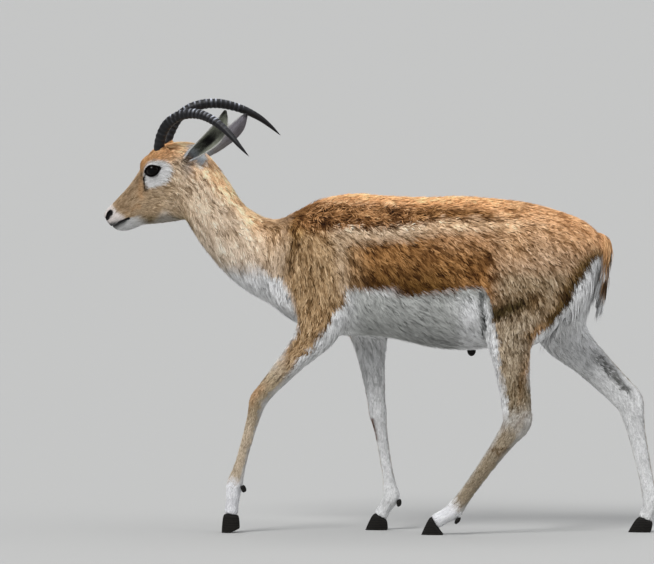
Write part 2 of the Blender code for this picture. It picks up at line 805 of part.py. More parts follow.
def horn(name, side, skin, work, parts):
    """A ringed, tapered sweep along the horn's path, its foot shaped to the skull."""
    head = head_matrix()
    path = [head @ mirrored(row, side) for row in curve_rows(HORN_PATH, 12)]
    lengths = [0.0]
    for a, b in zip(path, path[1:]):
        lengths.append(lengths[-1] + (b - a).length)
    stations = [k / (2 * HORN_RINGS) * (1 - HORN_SMOOTH_TIP) for k in range(2 * HORN_RINGS)]
    stations += [1 - HORN_SMOOTH_TIP * (1 - k / 6) for k in range(7)]
    rows = []
    for n, share in enumerate(stations):
        far = share * lengths[-1]
        i = min(len(path) - 2, max(k for k, length in enumerate(lengths) if length <= far))
        point = path[i].lerp(path[i + 1], (far - lengths[i]) / (lengths[i + 1] - lengths[i]))
        width = HORN_WIDTH * (1 - share**3.6) ** 0.75
        if n < 2 * HORN_RINGS:
            width *= 1.03 if n % 2 else 0.95
        rows.append((*point, max(width, 0.0012), max(width, 0.0012)))
    across = head.to_3x3() @ Vector((0, 1, 0))
    made = loft(name, tube_sections(rows, HORN_SIDES, across), parts)
    fit_against(made, skin, work)
    return made


def ear(name, which, skin, work, parts):
    """A cupped shell: its back runs along the path and its rims turn round the opening."""
    head = head_matrix()
    *path, opens = EARS[which]
    back = [head @ row for row in curve_rows(path, 6)]
    opens = head.to_3x3() @ Vector(opens)
    sections = []
    for share, width, curl in curve_rows(EAR_SHAPE, 2):
        place = min(share, 1) * (len(back) - 1)
        i = min(int(place), len(back) - 2)
        along = (back[i + 1] - back[i]).normalized()
        out = (opens - along * opens.dot(along)).normalized()
        wide = along.cross(out)
        half = EAR_HALF_WIDTH * width
        outer = half if curl > math.pi / 2 else half / math.sin(curl)
        inner = outer - min(EAR_WALL, EAR_LEAST_WALL * half)
        centre = back[i].lerp(back[i + 1], place - i) + out * outer
        turns = [curl * (2 * k / (EAR_POINTS - 1) - 1) for k in range(EAR_POINTS)]
        ring = [centre + (wide * math.sin(t) - out * math.cos(t)) * outer for t in turns]
        turns.reverse()
        ring += [centre + (wide * math.sin(t) - out * math.cos(t)) * inner for t in turns]
        sections.append(ring)
    made = loft(name, sections, parts)
    fit_against(made, skin, work)
    return made


def claw(name, leg, side, parts):
    """One half of a hoof, from the coronet down to its sole, flat where it stands."""
    _, coronet, down, rear = pastern_frame(leg)
    depth = leg["shape"][-1][2]
    across = Vector((0, 1, 0))
    middle_place = across * (side * (CLAW_WIDTH + CLAW_GAP) / 2)
    toe = Vector((leg["toe"], coronet.y, -TOE_FLAT * math.sin(leg["tip"])))
    sole_way = Vector((math.cos(leg["tip"]), 0, math.sin(leg["tip"])))
    length = leg["heel"] - leg["toe"]
    top, sole = [], []
    for k in range(CLAW_SIDES):
        turn = 2 * math.pi * k / CLAW_SIDES
        back, out = -math.cos(turn), math.sin(turn) * CLAW_WIDTH / 2
        high = coronet + middle_place + down * GAP
        low = toe + middle_place + sole_way * (length * (1 + back) / 2)
        pointed = out * (CLAW_POINTED + (1 - CLAW_POINTED) * back)
        top.append(high + (rear * (back * depth / 2) + across * out) * CLAW_TOP)
        sole.append(low + across * (pointed - side * CLAW_GAP * (1 - back) / 2))
    sections = []
    for share in CLAW_LEVELS:
        swell = 1 + CLAW_SWELL * math.sin(math.pi * share)
        ring = [a.lerp(b, share) for a, b in zip(top, sole)]
        centre = sum(ring, Vector()) / CLAW_SIDES
        sections.append([centre + (point - centre) * swell for point in ring])
    if leg["tip"]:
        sections.append([point - Vector((0, 0, TOE_DEEP)) for point in sections[-1]])
    made = loft(name, sections, parts)
    if leg["tip"]:
        clip(made, Vector(), Vector((0, 0, 1)))
    return made


def dewclaw(name, leg, side, skin, work, parts):
    """A small horny knob behind the fetlock."""
    fetlock, _, down, rear = pastern_frame(leg)
    behind, below, beside = DEWCLAW_PLACE
    behind += leg["shape"][-3][2] / 2
    centre = fetlock + rear * behind + down * below + Vector((0, side * beside, 0))
    upright = Matrix((rear, rear.cross(down), down * -1)).transposed()
    turn = upright @ Matrix.Rotation(DEWCLAW_TURN, 3, "Y")
    made = ellipsoid(name, centre, DEWCLAW, parts, turn, 5, 6)
    fit_against(made, skin, work)
    return made


def tail_lock(rows, tier, number, collection):
    """A flat, tapered lock, rooted in the tail's side and hanging along it."""
    share, count, reach, length, stand = tier
    place = share * (len(rows) - 1)
    i = min(int(place), len(rows) - 2)
    row = rows[i].lerp(rows[i + 1], place - i)
    along = (Vector(rows[i + 1][:3]) - Vector(rows[i][:3])).normalized()
    side = Vector((0, 1, 0))
    rear = along.cross(side).normalized()
    if rear.x < 0:
        rear.negate()
    turn = reach * (2 * number / (count - 1) - 1)
    foot = Vector(row[:3])
    foot += rear * (row[3] / 2 * math.cos(turn)) + side * (row[4] / 2 * math.sin(turn))
    out = rear * math.cos(turn) + side * math.sin(turn)
    vary = math.sin(LOCK_WAVE[0] * number + LOCK_WAVE[1] * share)
    length *= 1 + LOCK_VARIES * vary
    across = along.cross(out)
    down = Vector((0, 0, -1))
    sections = []
    for step, wide in LOCK_SHAPE:
        centre = foot + along.lerp(down, LOCK_HANG * step) * (length * step)
        centre += out * (stand * step - LOCK_SUNK * (1 - step))
        centre += across * (LOCK_WIDTH * LOCK_SWAY * vary * step**2)
        sections.append((*centre, LOCK_THICK * wide, LOCK_WIDTH * wide))
    return loft("lock", tube_sections(sections, LOCK_SIDES, across), collection)


def tail(name, skin, work, parts):
    """The tail with its locks fused to it, cut clear of the rump."""
    rows = [Vector(row) for row in curve_rows(TAIL, 3)]
    made = loft(name, tube_sections(rows, 14), parts)
    locks = bpy.data.collections.new("locks")
    locks.hide_render = True
    work.children.link(locks)
    for tier in TAIL_TIERS:
        for number in range(tier[1]):
            tail_lock(rows, tier, number, locks)
    union = made.modifiers.new("Locks", "BOOLEAN")
    union.operation = "UNION"
    union.operand_type = "COLLECTION"
    union.collection = locks
    apply_modifiers(made)
    remove(*locks.objects)
    bpy.data.collections.remove(locks)
    fit_against(made, skin, work)
    return made


def sheath(name, skin, work, parts):
    x, y, z, *radii = SHEATH
    made = ellipsoid(name, Vector((x, y, z)), radii, parts, None, 8, 10)
    fit_against(made, skin, work)
    return made


def paint(item, finish):
    """Gives the object a plain material of its own."""
    colour, roughness = COLOURS[finish]
    material = bpy.data.materials.new(item.name)
    material.use_nodes = True
    shader = material.node_tree.nodes["Principled BSDF"]
    shader.inputs["Base Color"].default_value = (*colour, 1)
    shader.inputs["Roughness"].default_value = roughness
    item.data.materials.clear()
    item.data.materials.append(material)


def centre_on_floor(items):
    """Moves all the meshes so that the whole stands centred on the origin."""
    points = [point.co for item in items for point in item.data.vertices]
    low = [min(point[axis] for point in points) for axis in range(3)]
    high = [max(point[axis] for point in points) for axis in range(3)]
    shift = Vector(((low[0] + high[0]) / -2, (low[1] + high[1]) / -2, -low[2]))
    for item in items:
        item.data.transform(Matrix.Translation(shift))


def main():
    for item in list(bpy.data.objects):
        bpy.data.objects.remove(item)
    parts = bpy.data.collections.new("blackbuck")
    work = bpy.data.collections.new("cutters")
    work.hide_render = True
    bpy.context.scene.collection.children.link(parts)
    bpy.context.scene.collection.children.link(work)

    skin = fuse(flesh_forms(work), work)
    fine = thinned(skin, "fine", FINE_SHARE, work)
    coarse = thinned(skin, "coarse", COARSE_SHARE, work)
    top, top_way = Vector(HEAD_CUT[0]), Vector(HEAD_CUT[1]).normalized()
    foot, foot_way = Vector(NECK_CUT[0]), Vector(NECK_CUT[1]).normalized()
    head_piece = duplicate(fine, "head", parts)
    clip(head_piece, top + top_way * GAP, top_way)
    body = duplicate(coarse, "torso", parts)
    clip(body, top, -top_way)
    face_features(head_piece, work)
    neck_slab = slab(foot, foot_way, (0, 1, 0), (0.40, 0.40), work)
    neck = cut_off(body, "neck", foot, foot_way, neck_slab, parts)
    flesh = [head_piece, neck, body, *part_legs(body, work, parts)]

    made = [tail("tail", coarse, work, parts)]
    for which, side in (("left", 1), ("right", -1)):
        eye_piece = eye(f"eye_{which}", side, parts)
        paint(eye_piece, "eye")
        horn_piece = horn(f"horn_{which}", side, fine, work, parts)
        paint(horn_piece, "horn")
        ear_piece = ear(f"ear_{which}", which, fine, work, parts)
        made += [eye_piece, horn_piece, ear_piece]
    sheath_piece = sheath("sheath", coarse, work, parts)
    made.append(sheath_piece)
    for name, leg in LEGS.items():
        for label, side in (("inner", -leg["side"]), ("outer", leg["side"])):
            hoof = claw(f"{name}_hoof_{label}", leg, side, parts)
            knob = dewclaw(f"{name}_dewclaw_{label}", leg, side, coarse, work, parts)
            paint(hoof, "hoof")
            paint(knob, "hoof")
            made += [hoof, knob]
    paint(sheath_piece, "hoof")
    for item in flesh + made:
        if not item.data.materials:
            paint(item, "coat")
    remove(*work.objects)
    bpy.data.collections.remove(work)
    centre_on_floor(flesh + made)


main()
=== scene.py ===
# %% [markdown]
# A blackbuck in its coat
#
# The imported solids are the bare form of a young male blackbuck, out to the tips of its coat. This
# lesson dresses them: one skin under the coat, a coat of many small tufts of hair, wet eyes, ringed
# horns and dull hooves. The solids are loaded first and are never moved. They are only measured,
# copied or hidden behind the piece that stands for them.

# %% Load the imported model
import math
from contextlib import contextmanager

import bmesh
import bpy
import numpy as np
from mathutils import Matrix, Vector
from mathutils.bvhtree import BVHTree


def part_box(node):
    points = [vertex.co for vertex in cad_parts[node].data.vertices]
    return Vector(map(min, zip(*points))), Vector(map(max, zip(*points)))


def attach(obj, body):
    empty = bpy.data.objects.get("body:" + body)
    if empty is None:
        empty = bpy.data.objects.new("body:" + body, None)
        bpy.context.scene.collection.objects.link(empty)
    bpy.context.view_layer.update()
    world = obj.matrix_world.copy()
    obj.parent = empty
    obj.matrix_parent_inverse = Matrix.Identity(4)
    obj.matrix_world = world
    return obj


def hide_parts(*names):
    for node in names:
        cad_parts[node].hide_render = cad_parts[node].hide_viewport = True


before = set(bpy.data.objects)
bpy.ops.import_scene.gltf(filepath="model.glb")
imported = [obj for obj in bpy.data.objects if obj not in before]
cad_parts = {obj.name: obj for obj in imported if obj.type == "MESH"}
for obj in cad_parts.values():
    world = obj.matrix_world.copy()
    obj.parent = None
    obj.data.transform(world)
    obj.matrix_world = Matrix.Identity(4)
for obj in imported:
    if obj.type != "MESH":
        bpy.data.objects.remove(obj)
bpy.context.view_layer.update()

# %% [markdown]
# Every place in this file was measured in the photograph, where one pixel is 2.1 mm on the animal.
# The measured frame stands on the floor under the animal's middle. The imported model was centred
# afterwards, so the difference between the two is read from the eyes, which both frames know.

# %% The measured frame and the view
PIXEL = 0.0021
PICTURE_WIDTH = 654
PICTURE_HEIGHT = 564
FLOOR_PIXEL = (381.5, 532.0)
VIEW_TURN = math.radians(7)
VIEW_DOWN = math.radians(3)
HEAD_PLACE = Vector((-0.478, 0.020, 0.7634))

cos_turn, sin_turn = math.cos(VIEW_TURN), math.sin(VIEW_TURN)
cos_down, sin_down = math.cos(VIEW_DOWN), math.sin(VIEW_DOWN)
view_look = Vector((-sin_turn * cos_down, cos_turn * cos_down, -sin_down))

eye_centres = [sum(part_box(name), Vector()) / 2 for name in ("eye_left", "eye_right")]
head_place = (eye_centres[0] + eye_centres[1]) / 2
shift = head_place - HEAD_PLACE
shift_row = np.array(shift)
print("shift of the centred frame:", shift[:])


def from_pixel(across, down, side=0.0):
    """The measured point seen at a pixel, at this distance to the right of the middle plane."""
    u = (across - FLOOR_PIXEL[0]) * PIXEL
    v = (FLOOR_PIXEL[1] - down) * PIXEL
    x = (u - side * sin_turn) / cos_turn
    z = (v - sin_down * (side * cos_turn - x * sin_turn)) / cos_down
    return Vector((x, side, z))


def to_pixels(measured):
    """The pixel columns and rows at which measured points are seen."""
    x, y, z = measured.T
    u = x * cos_turn + y * sin_turn
    v = z * cos_down + sin_down * (y * cos_turn - x * sin_turn)
    return FLOOR_PIXEL[0] + u / PIXEL, FLOOR_PIXEL[1] - v / PIXEL


# %% [markdown]
# The camera stands far off with a long lens, as a wildlife photographer's does, so that near and
# far legs keep their true sizes. Its height and turn come from the photograph.

# %% Camera
CAMERA_DISTANCE = 22.0
SENSOR = 36.0


def new_object(name, data):
    """A new object of the scene that shows this data."""
    item = bpy.data.objects.new(name, data)
    bpy.context.scene.collection.objects.link(item)
    return item


def look_along(item, direction):
    item.rotation_mode = "QUATERNION"
    item.rotation_quaternion = direction.to_track_quat("-Z", "Y")


middle = from_pixel(PICTURE_WIDTH / 2, PICTURE_HEIGHT / 2) + shift
camera_data = bpy.data.cameras.new("camera")
camera_data.sensor_width = SENSOR
camera_data.lens = SENSOR * CAMERA_DISTANCE / (PICTURE_WIDTH * PIXEL)
camera_data.clip_end = 300
camera = new_object("camera", camera_data)
camera.location = middle - view_look * CAMERA_DISTANCE
look_along(camera, view_look)
bpy.context.scene.camera = camera
print("camera height:", round(camera.location.z, 2), "lens:", round(camera_data.lens))

# %% [markdown]
# The studio is plain: a pale floor that runs back past the picture's edge, a pale sky, a soft
# light high above the camera's left, one straight above and a weaker one from behind. Soft light
# from above gives the bright back and shaded belly of an animal out of doors. Each is a sun with a
# wide disc, so that it lights the whole floor alike.

# %% Floor, sky and lights
FLOOR_SIZE = 200.0
LIGHTS = (
    ("key", (-0.35, -0.62, 0.70), 25, 2.6),
    ("top", (0.10, 0.12, 0.98), 70, 1.5),
    ("rear", (0.85, -0.10, 0.45), 50, 0.8),
)
SKY = (0.86, 0.90, 1.0)
SKY_STRENGTH = 0.24


def clear_selection():
    bpy.ops.object.select_all(action="DESELECT")


def make_active(item):
    clear_selection()
    item.select_set(True)
    bpy.context.view_layer.objects.active = item


def new_material(name, colour, roughness):
    """A Principled material, with its node tree and its shader."""
    material = bpy.data.materials.new(name)
    material.use_nodes = True
    shader = material.node_tree.nodes["Principled BSDF"]
    shader.inputs["Base Color"].default_value = (*colour, 1)
    shader.inputs["Roughness"].default_value = roughness
    return material, material.node_tree, shader


def soft_light(name, towards, width, strength):
    """A soft light from far off, in the direction from the animal, this many degrees wide."""
    data = bpy.data.lights.new(name, "SUN")
    data.angle = math.radians(width)
    data.energy = strength
    light = new_object(name, data)
    light.location = Vector(towards) * 5
    look_along(light, -Vector(towards))


clear_selection()
bpy.ops.mesh.primitive_plane_add(size=FLOOR_SIZE)
floor = bpy.context.active_object
floor.name = "floor"
floor_material, _, _ = new_material("floor", (0.40, 0.40, 0.39), 0.9)
floor.data.materials.append(floor_material)

for light in LIGHTS:
    soft_light(*light)
world = bpy.data.worlds.new("sky")
world.use_nodes = True
background = world.node_tree.nodes["Background"]
background.inputs["Color"].default_value = (*SKY, 1)
background.inputs["Strength"].default_value = SKY_STRENGTH
bpy.context.scene.world = world
bpy.context.scene.view_settings.view_transform = "Standard"
print("lights:", len(LIGHTS))

# %% [markdown]
# Numbers that vary smoothly over the body are needed everywhere: streaks in the coat, small turns
# of the hair, wear and painted highlights on the horns. A lattice of fixed random numbers, smoothed
# between its points, gives the same cloud of values each time.

# %% Helpers for smooth values
def ramp(low, high, value):
    """0 at low and 1 at high, eased at both ends. Low may be the larger."""
    share = np.clip((value - low) / (high - low), 0, 1)
    return share * share * (3 - 2 * share)


def bump(centre, half_width, value):
    """1 at the centre, fading to 0 on both sides."""
    return np.exp(-(((value - centre) / half_width) ** 2))


def lattice(cells, seed):
    """A fixed random number from 0 to 1 for each cell of whole numbers."""
    x, y, z = cells.astype(np.int64).T
    mixed = (x * 73856093) ^ (y * 19349663) ^ (z * 83492791) ^ (seed * 97531)
    mixed = (mixed & 0xFFFFFFF) * 48271 % 2147483647
    mixed = (mixed ^ (mixed >> 11)) * 69621 % 2147483647
    return mixed / 2147483647


def cloud(points, size, seed):
    """Smooth noise from -1 to 1 whose lumps are about this size."""
    scaled = points / size
    base = np.floor(scaled)
    inner = scaled - base
    inner = inner * inner * (3 - 2 * inner)
    total = np.zeros(len(points))
    for corner in np.ndindex(2, 2, 2):
        share = np.prod(np.where(np.array(corner) == 1, inner, 1 - inner), axis=1)
        total += share * lattice(base + corner, seed)
    return total * 2 - 1


def unit(vectors):
    return vectors / np.maximum(np.linalg.norm(vectors, axis=1, keepdims=True), 1e-12)


print("ramp at 0, a half and 1:", ramp(0, 1, np.array((0.0, 0.5, 1.0))))

# %% [markdown]
# The head has a frame of its own, between the eyes: x runs forward to the nose, y to the animal's
# left and z up to its crown. All work on the face is done there, where both sides are alike.

# %% The frame of the head
HEAD_DOWN = math.radians(40)
HEAD_AWAY = math.radians(-14)
HEAD_TILT = math.radians(-10)
EYE_SIDE = 0.0295
EYE_RADIUS = 0.0165

head_turn = (
    Matrix.Rotation(math.pi + HEAD_AWAY, 3, "Z")
    @ Matrix.Rotation(HEAD_DOWN, 3, "Y")
    @ Matrix.Rotation(HEAD_TILT, 3, "X")
)
head_axes = np.array(head_turn)
head_origin = np.array(head_place)


def in_head(points):
    return (points - head_origin) @ head_axes


def from_head(local):
    return np.asarray(local) @ head_axes.T + head_origin


def smooth_path(rows, steps):
    """Rows of a smooth curve through the given rows, with this many steps between two."""
    rows = np.array(rows, float)
    first, last = 2 * rows[0] - rows[1], 2 * rows[-1] - rows[-2]
    padded = np.vstack([first, rows, last])
    made = []
    for i in range(1, len(rows)):
        a, b, c, d = padded[i - 1:i + 3]
        for t in np.arange(steps) / steps:
            made.append(0.5 * (2 * b + (c - a) * t + (2 * a - 5 * b + 4 * c - d) * t**2
                               + (3 * b - a - 3 * c + d) * t**3))
    made.append(rows[-1])
    return np.array(made)


print("head axes:", head_axes.round(2).tolist())

# %% [markdown]
# Each leg is known by its joints, from elbow or stifle down to the coronet. The near legs are on
# the left side, toward the camera. The same joints place the solids, so the markings and the lie
# of the hair follow each leg in its own pose.

# %% The legs
LEGS = {
    "fore_left": (-1, ((-0.120, -0.052, 0.520), (-0.118, -0.062, 0.455), (-0.140, -0.063, 0.410),
                       (-0.252, -0.062, 0.282), (-0.304, -0.060, 0.098), (-0.311, -0.060, 0.039),
                       (-0.314, -0.060, 0.000))),
    "fore_right": (1, ((-0.070, 0.052, 0.520), (-0.050, 0.060, 0.455), (-0.034, 0.060, 0.412),
                       (-0.015, 0.058, 0.250), (0.015, 0.056, 0.070), (-0.009, 0.055, 0.029),
                       (-0.017, 0.055, 0.000))),
    "hind_left": (-1, ((0.330, -0.056, 0.560), (0.312, -0.060, 0.494), (0.277, -0.065, 0.409),
                       (0.295, -0.065, 0.237), (0.160, -0.064, 0.050), (0.120, -0.064, 0.0265),
                       (0.112, -0.064, 0.000))),
    "hind_right": (1, ((0.360, 0.054, 0.560), (0.360, 0.058, 0.500), (0.384, 0.060, 0.408),
                       (0.518, 0.060, 0.276), (0.564, 0.060, 0.062), (0.551, 0.060, 0.028),
                       (0.542, 0.060, 0.000))),
}
LEG_RADIUS = (0.045, 0.042, 0.036, 0.022, 0.016, 0.017, 0.017)


def along_leg(measured, leg):
    """For each point: how many joints down the leg it is, its distance, and how far it lies
    to the front and to the outside, as shares of the leg's radius."""
    side, joints = LEGS[leg]
    joints = np.array(joints)
    best = np.full(len(measured), 9.0)
    down = np.zeros(len(measured))
    front = np.zeros(len(measured))
    outer = np.zeros(len(measured))
    for i in range(len(joints) - 1):
        bone = joints[i + 1] - joints[i]
        share = np.clip((measured - joints[i]) @ bone / (bone @ bone), 0, 1)
        offset = measured - (joints[i] + share[:, None] * bone)
        distance = np.linalg.norm(offset, axis=1)
        radius = LEG_RADIUS[i] + share * (LEG_RADIUS[i + 1] - LEG_RADIUS[i])
        ahead = np.cross(bone / np.linalg.norm(bone), (0, 1, 0))
        ahead *= -np.sign(ahead[0])
        near = distance < best
        best[near] = distance[near]
        down[near] = (i + share - 2)[near]
        front[near] = (offset @ ahead / radius)[near]
        outer[near] = (offset[:, 1] * side / radius)[near]
    return down, best, front, outer


def leg_place(height, leg):
    """How far along the body the leg's middle line lies at each height."""
    joints = np.array(LEGS[leg][1])
    return np.interp(height, joints[::-1, 2], joints[::-1, 0])


print("legs:", list(LEGS))

# %% [markdown]
# The hair lies as water runs off the animal: from the nose over the face, down the neck, back
# along the trunk and down the legs. A groomer would describe it by a few strokes of the comb. Each
# guide here is one stroke: where it is, its slope in the side view (0 is straight back, 90 is
# straight down), the length of the hair and the depth of the coat, both in millimetres. Between
# the guides everything is blended.

# %% Guides of the coat
TRUNK_GUIDES = (
    (198, 152, 40, 14, 3.0), (214, 168, 50, 16, 3.5), (228, 186, 52, 18, 4.0), (246, 206, 42, 18, 4.5),
    (268, 222, 25, 18, 5.0), (195, 175, 70, 13, 3.0), (205, 195, 62, 16, 4.0), (196, 215, 75, 17, 5.0),
    (222, 215, 52, 18, 4.5), (215, 240, 62, 20, 5.5), (240, 235, 48, 19, 5.0), (235, 265, 60, 22, 6.0),
    (255, 255, 62, 20, 5.5), (252, 288, 66, 24, 7.0), (272, 300, 75, 24, 7.0), (288, 325, 85, 20, 5.0),
    (270, 235, 75, 17, 5.0), (272, 262, 105, 17, 5.0), (285, 240, 100, 16, 5.0), (290, 275, 105, 16, 5.0),
    (300, 300, 100, 15, 4.5), (305, 265, 85, 16, 5.0), (305, 225, 60, 16, 5.0), (325, 240, 50, 17, 5.0),
    (325, 270, 62, 17, 5.0), (330, 300, 80, 16, 5.0), (312, 325, 100, 14, 4.0), (340, 265, 70, 17, 5.0),
    (290, 208, 15, 15, 5.0), (320, 198, 5, 15, 5.0), (360, 197, 4, 15, 5.0), (400, 199, 3, 15, 5.0),
    (450, 200, 5, 15, 5.0), (500, 204, 10, 14, 5.0), (320, 215, 20, 17, 6.0), (360, 214, 15, 18, 6.5),
    (400, 215, 12, 18, 6.0), (450, 214, 10, 16, 5.5), (490, 216, 14, 15, 5.0), (360, 232, 30, 17, 5.5),
    (390, 232, 35, 17, 5.5), (430, 228, 28, 17, 5.5), (475, 228, 22, 16, 5.0), (360, 255, 55, 17, 5.0),
    (360, 280, 60, 18, 5.5), (395, 255, 48, 17, 5.0), (395, 282, 42, 18, 5.5), (430, 250, 38, 16, 5.0),
    (430, 278, 36, 17, 5.0), (460, 250, 38, 15, 5.0), (462, 275, 42, 15, 5.0), (480, 260, 52, 14, 4.5),
    (350, 305, 60, 20, 6.0), (370, 320, 48, 22, 6.5), (400, 312, 42, 22, 6.5), (400, 335, 30, 22, 6.5),
    (440, 310, 38, 21, 6.5), (440, 338, 26, 22, 6.5), (472, 305, 60, 18, 6.0), (470, 342, 30, 20, 6.0),
    (530, 208, 16, 14, 5.0), (560, 216, 24, 13, 5.0), (585, 228, 40, 13, 5.0), (602, 240, 75, 13, 4.5),
    (515, 235, 35, 14, 4.5), (545, 235, 32, 14, 5.0), (572, 245, 42, 14, 5.0), (505, 265, 60, 13, 4.0),
    (530, 262, 45, 14, 4.5), (555, 265, 48, 15, 5.0), (578, 262, 60, 16, 5.0), (498, 292, 75, 12, 3.5),
    (520, 292, 55, 13, 4.0), (545, 295, 60, 15, 5.0), (565, 295, 75, 18, 5.5), (510, 318, 80, 12, 3.5),
    (535, 318, 80, 14, 4.5), (490, 320, 85, 12, 3.5), (590, 290, 85, 20, 4.5), (575, 318, 80, 24, 4.0),
)
TRUNK_REACH = 0.040
TRUNK_SIDE = 0.085
LEG_GUIDE_STEP = 0.030
THIGH_REACH = 0.022
SHANK_REACH = 0.028
LEG_HAIR = (13, 12, 11, 7, 6, 7, 9)
LEG_DEPTH = (4.5, 4.0, 3.2, 1.8, 1.4, 1.2, 0.8)
HEAD_GUIDES = (
    ((0.157, 0.000, -0.006), (-0.7, 0.0, 0.7), 3, 0.6), ((0.145, 0.000, 0.006), (-1.0, 0.0, 0.2), 4, 0.7),
    ((0.120, 0.000, 0.008), (-1.0, 0.0, 0.1), 5, 0.9), ((0.085, 0.000, 0.011), (-1.0, 0.0, 0.1), 6, 1.1),
    ((0.050, 0.000, 0.018), (-1.0, 0.0, 0.3), 7, 1.4), ((0.015, 0.000, 0.028), (-1.0, 0.0, 0.4), 9, 2.0),
    ((-0.020, 0.000, 0.038), (-1.0, 0.0, 0.2), 11, 3.0), ((-0.060, 0.000, 0.022), (-1.0, 0.0, -0.4), 13, 3.2),
    ((-0.095, 0.0, -0.010), (-0.8, 0.0, -0.7), 14, 3.5), ((0.110, 0.024, -0.012), (-1.0, 0.2, -0.1), 5, 0.9),
    ((0.075, 0.028, -0.015), (-1.0, 0.2, -0.2), 6, 1.1), ((0.145, 0.018, -0.022), (-1.0, 0.3, -0.1), 3, 0.5),
    ((0.120, 0.022, -0.055), (-1.0, 0.1, -0.2), 5, 0.9), ((0.150, 0.008, -0.048), (-0.8, 0.2, -0.6), 4, 0.9),
    ((0.080, 0.026, -0.045), (-1.0, 0.1, -0.4), 7, 1.3), ((0.050, 0.032, -0.060), (-0.9, 0.0, -0.5), 8, 1.6),
    ((0.020, 0.038, -0.050), (-0.9, 0.0, -0.5), 9, 1.8), ((0.100, 0.000, -0.073), (-1.0, 0.0, -0.2), 6, 1.4),
    ((0.060, 0.000, -0.108), (-1.0, 0.0, -0.4), 9, 2.2), ((0.010, 0.000, -0.130), (-0.9, 0.0, -0.5), 12, 3.2),
    ((-0.015, 0.038, -0.060), (-0.9, 0.0, -0.6), 10, 2.2), ((0.010, 0.03, -0.10), (-0.8, 0.0, -0.6), 11, 2.6),
    ((-0.040, 0.036, -0.08), (-0.8, 0.0, -0.6), 12, 2.8), ((-0.06, 0.034, -0.04), (-0.8, 0.0, -0.6), 11, 2.4),
    ((0.024, 0.036, 0.016), (-0.7, 0.2, 0.8), 4, 0.9), ((0.000, 0.040, 0.024), (-0.9, 0.1, 0.4), 5, 1.1),
    ((-0.026, 0.040, 0.004), (-1.0, 0.0, -0.1), 6, 1.3), ((0.004, 0.044, -0.022), (-0.9, 0.0, -0.5), 6, 1.2),
    ((0.034, 0.034, -0.006), (-0.6, 0.3, -0.7), 4, 0.8), ((-0.030, 0.030, 0.026), (-1.0, 0.3, 0.1), 9, 2.2),
    ((-0.055, 0.030, 0.000), (-1.0, 0.1, -0.3), 10, 2.2),
)
HEAD_REACH = 0.016
TAIL_PATH = (
    (0.440, 0.000, 0.632, 0.012), (0.461, 0.000, 0.617, 0.012), (0.467, 0.000, 0.580, 0.009),
    (0.465, 0.000, 0.535, 0.007), (0.460, 0.000, 0.497, 0.006), (0.455, 0.000, 0.472, 0.003),
)
TAIL_REACH = 0.016
TAIL_HAIR = 34
TAIL_DEPTH = 5.0
COMB_BLOCK = 20000

guides = []


def add_guide(place, lie, length, depth, reach):
    """A comb stroke at a place in the centred frame. Length and depth are in millimetres."""
    lie = np.array(lie, float)
    guides.append((*place, *(lie / np.linalg.norm(lie)), length / 1000, depth / 1000, reach))


for across, down, slope, length, depth in TRUNK_GUIDES:
    lie = (math.cos(math.radians(slope)), 0, -math.sin(math.radians(slope)))
    for side in (-TRUNK_SIDE, 0.0, TRUNK_SIDE):
        add_guide(from_pixel(across, down, -TRUNK_SIDE) * Vector((1, 0, 1)) + shift + Vector((0, side, 0)),
                  lie, length, depth, TRUNK_REACH)
for side, joints in LEGS.values():
    for i in range(1, len(joints) - 1):
        start, end = Vector(joints[i]), Vector(joints[i + 1])
        steps = max(1, round((end - start).length / LEG_GUIDE_STEP))
        for k in range(steps):
            share = k / steps
            length = LEG_HAIR[i] + share * (LEG_HAIR[i + 1] - LEG_HAIR[i])
            depth = LEG_DEPTH[i] + share * (LEG_DEPTH[i + 1] - LEG_DEPTH[i])
            reach = SHANK_REACH if i > 1 else THIGH_REACH
            add_guide(start.lerp(end, share) + shift, end - start, length, depth, reach)
for place, lie, length, depth in HEAD_GUIDES:
    for side in ((-1, 1) if place[1] else (1,)):
        flip = np.array((1, side, 1))
        add_guide(from_head(place * flip), head_axes @ (lie * flip), length, depth, HEAD_REACH)
tail_line = smooth_path(TAIL_PATH, 4)
tail_places = tail_line[:, :3] + shift_row
for here, after in zip(tail_places, tail_places[1:]):
    add_guide(here, after - here, TAIL_HAIR, TAIL_DEPTH, TAIL_REACH)
guides = np.array(guides)
print("comb strokes:", len(guides))


def comb(points):
    """Lie of the hair, its length and the coat's depth at each point."""
    lies = np.zeros((len(points), 3))
    lengths = np.zeros(len(points))
    depths = np.zeros(len(points))
    for start in range(0, len(points), COMB_BLOCK):
        part = slice(start, start + COMB_BLOCK)
        apart = ((points[part, None, :] - guides[None, :, :3]) ** 2).sum(axis=2)
        weight = np.exp(-apart / (2 * guides[:, 8] ** 2)) + 1e-9 / (apart + 1e-6)
        weight /= weight.sum(axis=1, keepdims=True)
        lies[part] = weight @ guides[:, 3:6]
        lengths[part] = weight @ guides[:, 6]
        depths[part] = weight @ guides[:, 7]
    return unit(lies), lengths, depths


# %% [markdown]
# The skin under the coat is one piece with no seam. It could be modelled afresh, but the packed
# solids already hold the true form, so they are copied, grown a little so that the thin cuts
# between them close, and remeshed together. The skin is then drawn in by the depth of the coat,
# because the solids reach to the tips of the hair. Smoothing shrinks thin parts such as the muzzle,
# so each point first regains its distance to the solids.

# %% One form from the solids of flesh
LEG_NODES = ("foreleg_left", "foreleg_right", "hindleg_left", "hindleg_right")
FLESH = ["head", "neck", "torso", "eye_left", "eye_right"]
FLESH += [f"{leg}_{part}" for leg in LEG_NODES for part in ("upper", "cannon", "pastern")]
GROWTH = 0.0004
SKIN_VOXEL = 0.0055
WELD = 0.00001


